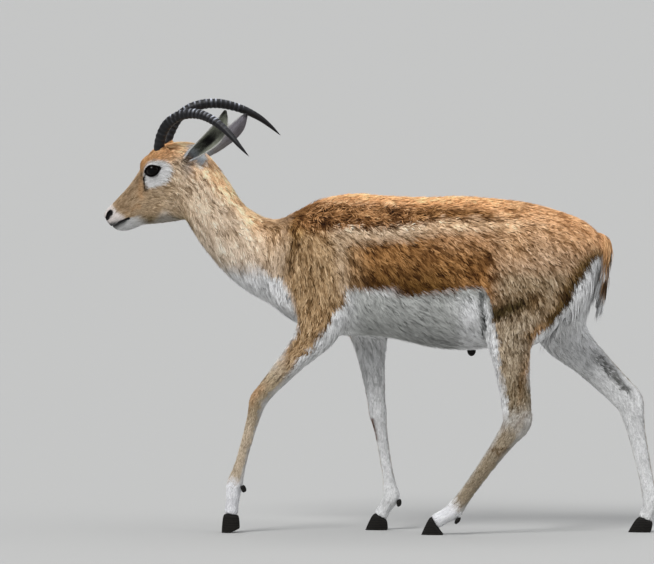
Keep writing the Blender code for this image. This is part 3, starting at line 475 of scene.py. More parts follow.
@contextmanager
def mesh_edit(item):
    """Opens an object's mesh for changes to its points and faces, then stores it again."""
    build = bmesh.new()
    build.from_mesh(item.data)
    yield build
    build.to_mesh(item.data)
    build.free()


def apply_all(item):
    """Applies every modifier of an object."""
    make_active(item)
    for modifier in list(item.modifiers):
        bpy.ops.object.modifier_apply(modifier=modifier.name)


def copy_of_node(node, name):
    """A copy of a solid whose loose triangles are welded to one surface."""
    item = new_object(name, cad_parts[node].data.copy())
    with mesh_edit(item) as build:
        bmesh.ops.remove_doubles(build, verts=build.verts, dist=WELD)
    item.data.materials.clear()
    return item


def tube(name, points, radii, sides=4):
    """A round tube through points, with a radius at each, as a mesh."""
    data = bpy.data.curves.new(name, "CURVE")
    data.dimensions = "3D"
    data.bevel_depth = 1.0
    data.bevel_resolution = sides
    data.use_fill_caps = True
    line = data.splines.new("POLY")
    line.points.add(len(points) - 1)
    for point, place, radius in zip(line.points, points, radii):
        point.co = (*place, 1)
        point.radius = radius
    make_active(new_object(name, data))
    bpy.ops.object.convert(target="MESH")
    item = bpy.context.active_object
    with mesh_edit(item) as build:
        bmesh.ops.remove_doubles(build, verts=build.verts, dist=WELD)
        bmesh.ops.recalc_face_normals(build, faces=build.faces)
    return item


def join(items, name):
    make_active(items[0])
    for item in items[1:]:
        item.select_set(True)
    bpy.ops.object.join()
    made = bpy.context.active_object
    made.name = name
    return made


forms = [copy_of_node(node, "form") for node in FLESH]
for form in forms:
    swell = form.modifiers.new("Grow", "DISPLACE")
    swell.strength = GROWTH
    swell.mid_level = 0
    apply_all(form)
tail_core = tube("tail_core", tail_places, tail_line[:, 3])
skin = join(forms + [tail_core], "skin")
form_faces = [face.vertices for face in skin.data.polygons]
form_tree = BVHTree.FromPolygons([vert.co for vert in skin.data.vertices], form_faces)
remesh = skin.modifiers.new("Skin", "REMESH")
remesh.mode = "VOXEL"
remesh.voxel_size = SKIN_VOXEL
smooth = skin.modifiers.new("Ease", "SMOOTH")
smooth.factor = 0.5
smooth.iterations = 3
apply_all(skin)
print("skin form:", len(skin.data.vertices), "points")

# %% [markdown]
# Remeshing can leave loose scraps, so only the largest surface is kept. A sculptor would then
# shrink the form by eye. Here each point moves in along its normal by the depth of the coat at its
# place, which the comb strokes know. The tail's core keeps its size, because its hair hangs free.

# %% Keep the outer surface and draw it in by the coat's depth
def read_points(mesh):
    points = np.empty(len(mesh.vertices) * 3, np.float32)
    mesh.vertices.foreach_get("co", points)
    return points.reshape(-1, 3).astype(float)


def read_normals(mesh):
    normals = np.empty(len(mesh.vertices) * 3, np.float32)
    mesh.vertex_normals.foreach_get("vector", normals)
    return normals.reshape(-1, 3).astype(float)


def write_points(mesh, points):
    mesh.vertices.foreach_set("co", points.astype(np.float32).ravel())
    mesh.update()


def average_over_edges(mesh, values, rounds):
    """Values of points, each mixed with its neighbours' mean this many times."""
    ends = np.empty(len(mesh.edges) * 2, np.int32)
    mesh.edges.foreach_get("vertices", ends)
    ends = ends.reshape(-1, 2)
    counts = np.bincount(ends.ravel(), minlength=len(values))
    for _ in range(rounds):
        total = np.bincount(ends[:, 0], values[ends[:, 1]], len(values))
        total += np.bincount(ends[:, 1], values[ends[:, 0]], len(values))
        values = 0.4 * values + 0.6 * total / np.maximum(counts, 1)
    return values


def keep_largest(item):
    """Keeps the largest connected surface of an object, and tells how many there were."""
    parts = []
    with mesh_edit(item) as build:
        left = set(build.verts)
        while left:
            reached = [left.pop()]
            for vert in reached:
                for edge in vert.link_edges:
                    other = edge.other_vert(vert)
                    if other in left:
                        left.remove(other)
                        reached.append(other)
            parts.append(reached)
        parts.sort(key=len)
        for part in parts[:-1]:
            bmesh.ops.delete(build, geom=part, context="VERTS")
    return len(parts)


def tail_share(points):
    """1 on the tail and 0 on the body."""
    apart = np.linalg.norm(points[:, None] - tail_places[None], axis=2).min(axis=1)
    return ramp(0.020, 0.013, apart) * ramp(0.460, 0.472, points[:, 0])


parts_found = keep_largest(skin)
points = read_points(skin.data)
normals = read_normals(skin.data)
nearest = np.array([form_tree.find_nearest(point)[0] for point in points])
regained = np.clip(((nearest - points) * normals).sum(axis=1), -0.002, 0.006)
regained = average_over_edges(skin.data, regained, 3)
_, _, coat_depth = comb(points)
inset = (coat_depth + GROWTH) * (1 - tail_share(points)) - regained
write_points(skin.data, points - normals * inset[:, None])
print("surfaces found:", parts_found, "mean coat depth mm:", round(coat_depth.mean() * 1000, 2))

# %% [markdown]
# The face needs far finer faces than the trunk, so the mesh is divided again there, twice on the
# muzzle and three times round the eyes. The lids, nostrils, mouth and the gland below the eye are
# then pressed in or raised by moving points, as a sculptor would on clay: the places come from the
# frame of the head, and the same strokes work both sides.

# %% Divide the face
MOUTH_CORNER = (0.111, -0.043)
MOUTH_FRONT = (0.160, -0.030)
LID_HALF_LENGTH = 0.0162
LID_HALF_HEIGHT = 0.0112
LID_TILT = math.radians(23)
NOSTRIL = (0.1470, -0.0080, 0.0128, 0.0053, math.radians(13))
GROOVE_START = (0.0165, 0.0040)
GLAND = ((0.0270, 0.0000), (0.0350, -0.0105), (0.0430, -0.0215))
MOUTH_HALF_BAND = 0.0027

EYE_MIDDLE = (0.006, -0.004)


def lid_place(x, wide, z):
    """How far a point is from the middle of the eye's opening, 1 on its edge, and its height."""
    along = x * math.cos(LID_TILT) + z * math.sin(LID_TILT)
    over = z * math.cos(LID_TILT) - x * math.sin(LID_TILT)
    height = LID_HALF_HEIGHT * (1 - 0.22 * np.clip(along / LID_HALF_LENGTH, -1, 1) ** 2)
    place = np.sqrt((along / LID_HALF_LENGTH) ** 2 + (over / height) ** 2)
    return np.where(wide > 0.015, place, 9.0), over


def nostril_place(x, z):
    """Places along and over the nostril, each 1 at its edge."""
    middle_x, middle_z, half_long, half_high, turn = NOSTRIL
    along = (x - middle_x) * math.cos(turn) - (z - middle_z) * math.sin(turn)
    over = (x - middle_x) * math.sin(turn) + (z - middle_z) * math.cos(turn)
    return along / half_long, over / half_high


def divide(item, wanted):
    """Divides the edges whose two ends are both wanted, and eases the new points."""
    with mesh_edit(item) as build:
        build.verts.ensure_lookup_table()
        chosen = set(np.flatnonzero(wanted).tolist())
        edges = [edge for edge in build.edges if all(vert.index in chosen for vert in edge.verts)]
        made = bmesh.ops.subdivide_edges(build, edges=edges, cuts=1, use_grid_fill=True)
        new = [part for part in made["geom_inner"] if isinstance(part, bmesh.types.BMVert)]
        touched = {vert for edge in edges if edge.is_valid for vert in edge.verts} | set(new)
        for _ in range(2):
            bmesh.ops.smooth_vert(build, verts=list(touched), factor=0.5,
                                  use_axis_x=True, use_axis_y=True, use_axis_z=True)
        big = [face for face in build.faces if len(face.verts) > 4]
        bmesh.ops.triangulate(build, faces=big)


def whole_face(x, wide, z):
    return (np.abs(x - 0.03) < 0.135) & (wide < 0.06) & (np.abs(z + 0.04) < 0.10)


def eye_and_muzzle(x, wide, z):
    near_eye = np.hypot(x - EYE_MIDDLE[0], z - EYE_MIDDLE[1]) < 0.040
    on_muzzle = (x > 0.095) & (z > -0.065)
    return (wide < 0.06) & (x > -0.10) & (z > -0.13) & (near_eye | on_muzzle)


def lids_nose_and_mouth(x, wide, z):
    near_eye = np.hypot(x - EYE_MIDDLE[0], z - EYE_MIDDLE[1]) < 0.025
    near_gland = np.hypot(x - GLAND[1][0], z - GLAND[1][1]) < 0.016
    line = np.interp(x, (MOUTH_CORNER[0], MOUTH_FRONT[0]), (MOUTH_CORNER[1], MOUTH_FRONT[1]))
    near_nose = np.hypot(x - NOSTRIL[0], z - NOSTRIL[1]) < 0.017
    on_side = (wide > 0.018) & (wide < 0.06)
    on_muzzle = (x > 0.106) & (wide < 0.04)
    return (on_side & (near_eye | near_gland)) | (on_muzzle & ((np.abs(z - line) < 0.007) | near_nose))


for area in (whole_face, eye_and_muzzle, lids_nose_and_mouth):
    x, y, z = in_head(read_points(skin.data)).T
    divide(skin, area(x, np.abs(y), z))
print("skin with a fine face:", len(skin.data.vertices), "points")

# %% [markdown]
# Lids, nostrils and lips are folds of the skin. They could be carved with a sculpting brush. Here
# each fold is a formula of the distance from its line, so that both sides are alike. In these
# functions x runs forward, z up and wide outward from the middle of the head.

# %% Folds of the skin on the face
HORN_ROOT = (-0.026, 0.0245, 0.012)
HORN_RISE = np.array((-0.66, 0.24, 0.71))


def to_segment(x, z, start, end):
    """Distance of points from a line between two places in a side view."""
    start = np.array(start)
    line = np.array(end) - start
    share = np.clip(((x - start[0]) * line[0] + (z - start[1]) * line[1]) / (line @ line), 0, 1)
    return np.hypot(x - start[0] - share * line[0], z - start[1] - share * line[1])


def mouth_line(x):
    """Height of the mouth's line, with a slight rise at its corner."""
    share = (x - MOUTH_CORNER[0]) / (MOUTH_FRONT[0] - MOUTH_CORNER[0])
    straight = MOUTH_CORNER[1] + share * (MOUTH_FRONT[1] - MOUTH_CORNER[1])
    return straight + 0.0012 * np.sin(share * math.pi * 2)


def raise_collar(x, wide, z):
    """A collar of skin rises round the root of each horn."""
    root = np.stack([x, wide, z], axis=1) - HORN_ROOT
    along = root @ HORN_RISE
    beside = np.linalg.norm(root - along[:, None] * HORN_RISE, axis=1)
    height = 0.0085 * ramp(0.024, 0.011, beside) * ramp(0.040, 0.020, np.abs(along))
    height = height * ramp(0.012, 0.026, wide)
    return x + height * HORN_RISE[0], wide + height * 0.45, z + height * HORN_RISE[2]


def fold_lids(x, wide, z):
    """The eyeball fills its opening, so within it the skin passes behind the ball. The lids hug
    the ball's edge, with a rim and a crease, both stronger above."""
    lid, over = lid_place(x, wide, z)
    in_ball = EYE_SIDE + np.sqrt(np.maximum((EYE_RADIUS - 0.0025) ** 2 - x**2 - z**2, 0)) - 0.0005
    over_ball = EYE_SIDE + np.sqrt(np.maximum((EYE_RADIUS + 0.0021) ** 2 - x**2 - z**2, 0.004**2))
    wide = wide + (over_ball - wide) * bump(1.10, 0.16, lid) * (lid < 5)
    upper = ramp(-0.2, 0.3, over / LID_HALF_HEIGHT)
    wide = wide + 0.0009 * bump(1.16, 0.10, lid) * (0.5 + upper)
    wide = wide - 0.0016 * bump(1.50, 0.10, lid) * upper
    wide = wide - 0.0008 * bump(1.42, 0.10, lid) * (1 - upper)
    return wide + (np.minimum(wide, in_ball) - wide) * ramp(1.02, 0.95, lid)


def press_gland(x, wide, z):
    """A groove runs from the eye's front corner to the gland, which is a slit with a soft rim."""
    groove = to_segment(x, z, GROOVE_START, GLAND[0])
    wide = wide - 0.0022 * bump(0, 0.0014, groove) * (wide > 0.018)
    for start, end in zip(GLAND, GLAND[1:]):
        far = to_segment(x, z, start, end)
        rise = 0.0007 * bump(0.0036, 0.0014, far) - 0.0030 * bump(0, 0.0014, far)
        wide = wide + rise * (wide > 0.016)
    return wide


def press_nostril(x, wide, z):
    """The nostril is a comma with a raised outer wing."""
    along, over = nostril_place(x, z)
    over = over - 0.0022 / NOSTRIL[3] * along**2 * (along < 0)
    ring = np.hypot(along, over)
    return wide + (0.0009 * bump(1.35, 0.25, ring) - 0.0052 * ramp(1.10, 0.55, ring)) * (wide > 0.006)


def cut_mouth(x, wide, z):
    """The mouth's line, with the upper lip a little over the lower, and a crease at its corner."""
    gap = z - mouth_line(x)
    inward = 0.0021 * bump(0, 0.0010, gap) - 0.0008 * bump(0.0026, 0.0016, gap)
    inward = inward - 0.0004 * bump(-0.0026, 0.0016, gap)
    inward = inward * ramp(MOUTH_CORNER[0] - 0.002, MOUTH_CORNER[0] + 0.004, x)
    at_front = ramp(0.145, 0.158, x)
    wide = wide - inward * (1 - at_front)
    x = x - inward * at_front
    crease = to_segment(x, z, (0.104, -0.038), (0.112, -0.047))
    return x, wide - 0.0009 * bump(0, 0.0018, crease)


def shape_cheek(x, wide, z):
    """A hollow before the eye, the bone of the cheek and the hollow over the jaw."""
    wide = wide - 0.0014 * bump(0, 0.012, np.hypot(x - 0.060, (z + 0.020) * 1.2))
    wide = wide + 0.0011 * bump(0, 0.007, to_segment(x, z, (0.020, -0.028), (0.085, -0.040)))
    return wide - 0.0009 * bump(0, 0.006, to_segment(x, z, (0.010, -0.048), (0.070, -0.060)))


def sculpt(local):
    """Moves the points of the face, in the head's frame."""
    x, y, z = local.T.copy()
    x = x + 0.0042 * ramp(0.112, 0.150, x)
    x, wide, z = raise_collar(x, np.abs(y), z)
    wide = fold_lids(x, wide, z)
    wide = press_gland(x, wide, z)
    wide = press_nostril(x, wide, z)
    x, wide = cut_mouth(x, wide, z)
    under_nose = ramp(0.146, 0.152, x) * ramp(-0.030, -0.026, z) * ramp(-0.004, -0.010, z)
    x = x - 0.0012 * bump(0, 0.0012, y) * under_nose
    wide = shape_cheek(x, wide, z)
    return np.stack([x, np.sign(y) * wide, z], axis=1)


print("height of the mouth's corner:", round(float(mouth_line(MOUTH_CORNER[0])), 4))

# %% [markdown]
# Now the folds are pressed into the skin. Only the points of the face are handed over, in the
# head's frame, and they come back to their places in the scene.

# %% Sculpt the face
points = read_points(skin.data)
local = in_head(points)
x, y, z = local.T
face = (x > -0.05) & (x < 0.19) & (np.abs(y) < 0.06) & (z > -0.10) & (z < 0.05)
points[face] = from_head(sculpt(local[face]))
write_points(skin.data, points)
print("points of the face:", int(face.sum()))

# %% [markdown]
# An ear is a thin leaf rolled to a cup. Here a flat grid is laid along the line of the ear and
# rolled round it, tightly at the root and openly toward the tip, and a thickness is given to it.
# The root lies inside the head, so one union makes ear and skin a single surface.

# %% Ears
EARS = {
    "left": (((-0.058, 0.022, -0.030), (-0.089, 0.032, -0.028), (-0.122, 0.042, -0.030),
              (-0.156, 0.051, -0.031), (-0.187, 0.059, -0.027), (-0.218, 0.066, -0.009)),
             (0.20, 0.95, -0.20)),
    "right": (((-0.058, -0.022, -0.040), (-0.095, -0.033, -0.048), (-0.130, -0.046, -0.052),
               (-0.170, -0.060, -0.051), (-0.204, -0.074, -0.038)),
              (0.20, -0.80, 0.45)),
}
EAR_SHAPE = (
    (0.00, 0.50, 2.75), (0.18, 0.58, 2.45), (0.36, 0.78, 1.80), (0.60, 1.00, 1.35),
    (0.78, 0.90, 1.20), (0.91, 0.54, 1.10), (1.00, 0.12, 1.00),
)
EAR_HALF_WIDTH = 0.0180
EAR_INSET = 0.0005
EAR_WALL = 0.0016
EAR_ROWS = 44
EAR_COLUMNS = 24


def ear_frame(which):
    """Points along an ear's back, from root to tip, the way its cup opens, and its far side."""
    path, opens = EARS[which]
    line = from_head(smooth_path(path, 10))
    along = unit(np.gradient(line, axis=0))
    opens = head_axes @ np.array(opens)
    out = unit(opens - along * (along @ opens)[:, None])
    return line, along, out


def make_ear(which):
    clear_selection()
    bpy.ops.mesh.primitive_grid_add(x_subdivisions=EAR_ROWS, y_subdivisions=EAR_COLUMNS, size=2)
    item = bpy.context.active_object
    item.name = f"ear_{which}"
    flat = read_points(item.data)
    share = (flat[:, 0] + 1) / 2
    shape = np.array(EAR_SHAPE)
    curve = smooth_path(shape, 6)
    width = np.interp(share, curve[:, 0], curve[:, 1])
    curl = np.interp(share, curve[:, 0], curve[:, 2])
    line, along, out = ear_frame(which)
    place = share * (len(line) - 1)
    spots = np.arange(len(line))

    def at(rows):
        return np.stack([np.interp(place, spots, rows[:, axis]) for axis in range(3)], axis=1)

    back, along, out = at(line), unit(at(along)), unit(at(out))
    across = np.cross(along, out)
    half = EAR_HALF_WIDTH * width
    radius = np.where(curl > math.pi / 2, half, half / np.sin(curl))
    turn = curl * flat[:, 1]
    ripple = 1 + 0.02 * np.sin(flat[:, 1] * 9) * ramp(0.2, 0.5, share)
    centre = back + out * radius[:, None]
    inset = (radius - np.minimum(EAR_INSET, radius * 0.3)) * ripple
    shell = centre + (across * np.sin(turn)[:, None] - out * np.cos(turn)[:, None]) * inset[:, None]
    write_points(item.data, shell)
    wall = item.modifiers.new("Wall", "SOLIDIFY")
    wall.thickness = EAR_WALL
    wall.offset = 0
    apply_all(item)
    with mesh_edit(item) as build:
        bmesh.ops.triangulate(build, faces=build.faces)
        bmesh.ops.recalc_face_normals(build, faces=build.faces)
    return item


for which in EARS:
    ear = make_ear(which)
    union = skin.modifiers.new("Ear", "BOOLEAN")
    union.operation = "UNION"
    union.solver = "MANIFOLD"
    union.object = ear
    apply_all(skin)
    bpy.data.objects.remove(ear)
keep_largest(skin)
with mesh_edit(skin) as build:
    bmesh.ops.triangulate(build, faces=build.faces)
skin.data.shade_smooth()
print("skin with ears:", len(skin.data.polygons), "triangles")

# %% [markdown]
# Skin and coat carry the same markings, so both ask one function for the colour at a place. The
# side view of the near side holds the lines between the colours, as measured, and the far side is
# its mirror image, with each leg's markings carried along by its own pose.

# %% Colours of the coat
ORANGE = (0.650, 0.325, 0.140)
SADDLE = (0.105, 0.042, 0.012)
CREAM = (0.500, 0.360, 0.230)
CREAM_REAR = (0.610, 0.385, 0.215)
FLANK = (0.172, 0.074, 0.021)
FLANK_LOW = (0.072, 0.030, 0.006)
SHOULDER = (0.280, 0.170, 0.080)
RUMP = (0.465, 0.255, 0.122)
HAUNCH = (0.345, 0.213, 0.118)
HAUNCH_LOW = (0.245, 0.168, 0.095)
THIGH = (0.335, 0.255, 0.168)
BROWN = (0.105, 0.050, 0.012)
DARK = (0.026, 0.015, 0.004)
LEG_TAN = (0.340, 0.262, 0.165)
NAPE = (0.690, 0.420, 0.225)
NECK_SIDE = (0.520, 0.385, 0.262)
WHITE = (0.700, 0.700, 0.695)
# white hair of the belly, painted grey as painted shade under the body
BELLY_IN_PAINTED_SHADE = (0.400, 0.405, 0.385)
GREY = (0.300, 0.300, 0.300)
FACE = (0.440, 0.312, 0.190)
FOREHEAD = (0.480, 0.260, 0.115)
FACE_STRIPE = (0.215, 0.140, 0.078)
EYE_RING = (0.660, 0.655, 0.650)
BLACK = (0.010, 0.009, 0.009)
BACK_ORANGE = (0.530, 0.270, 0.120)
# painted shade in the crease between belly and thigh, and in the slit beside the tail
CREASE_SHADE_GREY = (0.07, 0.072, 0.068)
SLIT_SHADE_BLACK = (0.05, 0.05, 0.045)
FORE_CANNON = (0.500, 0.405, 0.295)
GASKIN = (0.235, 0.178, 0.105)
HIND_CANNON = (0.265, 0.215, 0.150)
PASTERN = (0.82, 0.82, 0.84)
KNEE_RUST = (0.09, 0.03, 0.01)
HOCK_STREAK = (0.09, 0.09, 0.085)
JAW = (0.190, 0.140, 0.072)
MUZZLE = (0.74, 0.68, 0.65)
BELOW_EAR = (0.14, 0.155, 0.17)
UPPER_LIP = (0.10, 0.098, 0.096)
LOWER_LIP = (0.12, 0.118, 0.115)
EAR_BACKS = {"left": (0.34, 0.30, 0.26), "right": (0.30, 0.29, 0.29)}
EAR_FOLD = (0.13, 0.12, 0.14)
EAR_INSIDE = (0.24, 0.25, 0.20)
EAR_EDGE = (0.60, 0.60, 0.60)
EAR_INNER_EDGE = (0.64, 0.64, 0.60)
EAR_ROOT = (0.50, 0.54, 0.58)
TAIL_STRAND = (0.05, 0.048, 0.042)
TAIL_BROWN = (0.215, 0.110, 0.042)
TAIL_TOP = (0.330, 0.180, 0.078)
print("colour of the back:", ORANGE, "and of the flank:", FLANK)

# %% [markdown]
# The borders between the colours are lines of pixels in the side view, and the spots and the painted
# shade of folds and creases are strokes of a brush: a colour, where the stroke starts and ends, its
# half width in pixels and how thickly it covers. A painter would lay the same strokes in the same order.

# %% Borders and strokes in the side view
BACK_LINE = ((200, 150), (226, 178), (250, 208), (270, 218), (290, 211), (310, 201), (330, 197), (360, 194),
             (400, 195), (450, 195), (500, 199), (540, 204), (575, 215), (600, 230), (612, 250))
SADDLE_TOP = ((270, 220), (300, 206), (330, 203), (360, 204), (400, 207), (450, 207), (500, 212))
SADDLE_FOOT = ((270, 236), (300, 228), (330, 226), (360, 227), (400, 226), (440, 219), (500, 220))
BAND_FOOT = ((300, 236), (330, 240), (360, 241), (400, 239), (440, 231), (500, 230))
BELLY_LINE = ((330, 296), (343, 284), (351, 284), (366, 288.6), (380, 291), (400, 294), (420, 293),
              (434, 291), (446, 288.6), (463, 286.4), (474, 285.7), (480, 286), (485, 291), (490, 302))
CHEST_EDGE = ((230, 190), (255, 255), (262, 262), (270, 267), (274, 281), (290, 291), (306, 294),
              (320, 298), (345, 290), (365, 277), (385, 264))
ARMPIT_EDGE = ((284, 345), (298.6, 343), (307, 336), (314, 330), (328, 324), (338.6, 317), (348.6, 310),
               (363, 296), (385, 280), (400, 268))
RUMP_EDGE = ((250, 603), (256, 592), (261, 588), (274, 580), (288, 571), (300, 568), (310, 560),
             (317, 554), (327, 543), (334, 535), (350, 531), (375, 526))
THIGH_FRONT = ((286, 478), (297, 484), (311, 490), (317, 489), (321, 494), (345, 497), (380, 500), (400, 502))
EYE_RING_EDGE = ((-180, 0.034), (-150, 0.032), (-124, 0.028), (-90, 0.0248), (-50, 0.0270), (-25, 0.0330),
                 (-14, 0.041), (0, 0.036), (20, 0.030), (50, 0.0273), (92, 0.028), (144, 0.027), (180, 0.034))

WITHERS_STROKES = (
    (CREAM, (337, 240), (342, 284), 6, 0.55),
    (BROWN, (307, 211), (279, 262), 9, 0.75),
    (BROWN, (264, 226), (296, 230), 7, 0.35),
)
HIP_SPOTS = (
    (CREAM_REAR, (510, 229), (1.0, 1.3), 8, 0.6),
    (CREAM_REAR, (533, 228), (1.0, 1.3), 7, 0.5),
    (FOREHEAD, (512, 246), (0.8, 1.0), 13, 0.55),
)
# A light stroke where the hair stands up on the hip, and beside it a brown stroke of painted shadow.
HIP_STROKES = (
    (FOREHEAD, (520, 200), (503, 216), 4, 0.7),
    (BROWN, (526, 204), (509, 220), 2.5, 0.45),
)
THIGH_STROKES = (
    (FOREHEAD, (541, 330), (529, 372), 7, 0.9),
    (BROWN, (546, 326), (536, 350), 4, 0.8),
    (BROWN, (524, 345), (518, 385), 3, 0.5),
    # Painted shadow of the fold where the thigh meets the belly: this stroke and the two below it. The
    # strokes above are the orange-brown rear edge of the thigh.
    (BROWN, (490, 310), (532, 299), 10, 0.75),
    (DARK, (491, 311), (520, 301), 7.5, 1.0),
    (DARK, (496, 314), (508, 306), 5, 1.0),
)
# Painted shade in creases: the line between belly and thigh, the slit beside the tail, the shade inside the
# white of the rump and the crease where the chest meets the foreleg.
CREASE_SHADE_STROKES = (
    (CREASE_SHADE_GREY, (478, 289), (481, 332), 2.8, 1.0),
    (SLIT_SHADE_BLACK, (599, 264), (589, 316), 2.6, 0.9),
    (GREY, (591, 277), (580, 320), 6, 0.35),
    (GREY, (276, 300), (284, 312), 6, 0.35),
)
KNEE_STROKES = ((KNEE_RUST, (372, 419), (376, 438), 2.2, 0.95),)
FOREARM_STROKES = ((GREY, (381, 375), (379, 384), 1.3, 0.8),)
HOCK_STROKES = (
    (BROWN, (492, 448), (508, 446), 2.0, 0.6),
    (BROWN, (497, 451), (499, 452), 1.5, 0.8),
    (BROWN, (500, 413), (504, 432), 2.5, 0.35),
    (BROWN, (521, 372), (517, 402), 2.2, 0.5),
    (BROWN, (512, 380), (511, 404), 1.8, 0.4),
    (BROWN, (516, 424), (526, 412), 2.0, 0.3),
)


def line_at(line, place):
    """Value of a measured line at each place."""
    line = np.array(line, float)
    return np.interp(place, line[:, 0], line[:, 1])


def plain(colour, points):
    """One colour for every point."""
    return np.tile(np.array(colour), (len(points), 1))


def lay(colours, colour, share):
    """Lays a colour over others, as thickly as share says."""
    colours += (np.array(colour) - colours) * share[:, None]


def stroke(x, z, start, end, half_width):
    """1 on a line between two places of a side view, fading to 0 away from it."""
    return bump(0, half_width, to_segment(x, z, start, end))


def lay_strokes(colours, x, z, strokes, where=1.0):
    """Lays strokes one after another: colour, start, end, half width and thickness of each."""
    for colour, start, end, half_width, share in strokes:
        lay(colours, colour, stroke(x, z, start, end, half_width) * share * where)


def near_side_view(measured):
    """Pixel columns and rows of points, those of the far side mirrored and its legs carried
    over to the near legs' places."""
    placed = measured.copy()
    far = ramp(0.0, 0.012, measured[:, 1])
    height = measured[:, 2]
    for near_leg, far_leg, reach in (("fore_left", "fore_right", 0.085), ("hind_left", "hind_right", 0.110)):
        far_x = leg_place(height, far_leg)
        moved = leg_place(height, near_leg) - far_x
        close = bump(0, reach, np.maximum(0, np.abs(measured[:, 0] - far_x) - reach / 2))
        placed[:, 0] += far * ramp(0.50, 0.40, height) * close * moved
    placed[:, 1] = -np.abs(measured[:, 1])
    return to_pixels(placed)


print("strokes:", len(WITHERS_STROKES + HIP_STROKES + THIGH_STROKES + CREASE_SHADE_STROKES + HOCK_STROKES))

# %% [markdown]
# The trunk is painted from the side: flank and shoulder first, then the haunch, the pale band and
# the dark saddle over them, the neck, and the white underside last, with painted shade on the belly
# and in the creases. Across and down are pixels.

# %% Colours of the trunk
def below(line, across, down):
    """How far below a border each place lies."""
    return down - line_at(line, across)


def behind(line, across, down):
    """How far behind a border each place lies."""
    return across - line_at(line, down)


def paint_haunch(colours, across, down):
    haunch = ramp(482, 508, across)
    lay(colours, RUMP, ramp(405, 470, across) * bump(236, 12, down) * 0.55)
    lay(colours, HAUNCH, haunch)
    lay(colours, HAUNCH_LOW, haunch * ramp(262, 280, down) * ramp(585, 560, across))
    lay(colours, THIGH, haunch * ramp(303, 325, down))
    lay(colours, RUMP, haunch * ramp(48, 22, below(BACK_LINE, across, down)))


def paint_back(colours, across, down):
    """The pale band along the side, the dark saddle above it and the orange of the back."""
    foot = below(SADDLE_FOOT, across, down)
    top = below(SADDLE_TOP, across, down)
    band = ramp(-5, 3, foot) * ramp(6, -8, below(BAND_FOOT, across, down))
    lay(colours, CREAM, band * ramp(318, 352, across) * ramp(530, 450, across) * 0.85)
    lay(colours, CREAM_REAR, band * ramp(400, 440, across) * ramp(530, 490, across) * 0.8)
    saddle = ramp(-7, 3, top) * ramp(3, -4, foot)
    lay(colours, SADDLE, saddle * ramp(262, 290, across) * ramp(520, 400, across) * 0.95)
    lay(colours, FLANK, saddle * ramp(400, 430, across) * ramp(520, 480, across) * 0.6)
    lay(colours, ORANGE, ramp(5, -4, top) * ramp(285, 310, across) * ramp(530, 500, across))


def paint_hip(colours, across, down):
    """Light spots of the hip, painted shadow in its folds, and the brown edge beside the rump's white."""
    haunch = ramp(482, 508, across)
    lay(colours, BACK_ORANGE, haunch * ramp(26, 8, below(BACK_LINE, across, down)))
    for colour, place, stretch, size, share in HIP_SPOTS:
        apart = np.hypot((across - place[0]) * stretch[0], (down - place[1]) * stretch[1])
        lay(colours, colour, bump(0, size, apart) * share)
    # hair standing up, with painted shadow beside it
    lay_strokes(colours, across, down, HIP_STROKES)
    edge = -behind(RUMP_EDGE, across, down)
    lay(colours, BROWN, haunch * ramp(26, 5, edge) * ramp(236, 250, down) * ramp(352, 330, down))
    lay(colours, DARK, haunch * ramp(15, 3, edge) * ramp(243, 262, down) * ramp(340, 318, down) * 0.75)
    # the orange-brown edge of the thigh, and painted shadow in the fold over it
    lay_strokes(colours, across, down, THIGH_STROKES)


def paint_neck(colours, across, down):
    neck = ramp(294, 270, across)
    lay(colours, NECK_SIDE, neck)
    lay(colours, NAPE, neck * ramp(34, 8, below(BACK_LINE, across, down)))
    lay(colours, SHOULDER, neck * stroke(across, down, (276, 232), (262, 262), 10) * 0.6)
    lay(colours, BROWN, stroke(across, down, (262, 226), (292, 226), 7) * 0.6)
    lay(colours, WHITE, neck * ramp(235, 300, down + (250 - across) * 0.6) * 0.25)
    lay(colours, THIGH, neck * stroke(across, down, (188, 228), (250, 288), 10) * 0.65)
    lay(colours, BROWN, stroke(across, down, (250, 279), (256, 286), 2.0) * 0.8)


def paint_underside(colours, across, down):
    """White of chest, legs' insides and buttock; the belly grey as painted shade, and painted shade in
    creases.
    """
    chest = ramp(5, -5, behind(CHEST_EDGE, across, down)) * ramp(255, 275, down)
    belly = ramp(-3.5, 3.5, below(BELLY_LINE, across, down)) * ramp(326, 346, across) * ramp(492, 484, across)
    armpit = ramp(-2, 3, behind(ARMPIT_EDGE, across, down)) * ramp(282, 292, down) * ramp(400, 380, across)
    buttock = ramp(-3, 3, behind(RUMP_EDGE, across, down)) * ramp(247, 253, down)
    strip = ramp(2, -2, behind(THIGH_FRONT, across, down)) * ramp(290, 300, down) * ramp(440, 470, across)
    lay(colours, WHITE, np.maximum(chest, armpit))
    # The belly's white hair is painted grey as painted shade, and darker grey toward its lower edge as more
    # painted shade.
    lay(colours, BELLY_IN_PAINTED_SHADE, belly * ramp(338, 362, across))
    lay(colours, GREY, belly * ramp(318, 345, down) * 0.35)
    lay(colours, WHITE, np.maximum(buttock, strip))
    # painted shade in the creases
    lay_strokes(colours, across, down, CREASE_SHADE_STROKES)


def trunk_colours(measured, wobble):
    """Colours of trunk, neck and upper legs from the side view."""
    across, down = near_side_view(measured)
    across = across + wobble * 2.2
    down = down + wobble * 2.0
    colours = plain(FLANK, measured)
    lay(colours, FLANK_LOW, ramp(252, 284, down) * ramp(345, 365, across) * ramp(475, 430, across))
    lay(colours, SHOULDER, ramp(372, 332, across + wobble * 3) * ramp(222, 240, down))
    lay_strokes(colours, across, down, WITHERS_STROKES)
    for paint in (paint_haunch, paint_back, paint_hip, paint_neck, paint_underside):
        paint(colours, across, down)
    return colours


print("colour of the side:", trunk_colours(np.array([[0.1, -0.1, 0.55]]), np.zeros(1)).round(2))

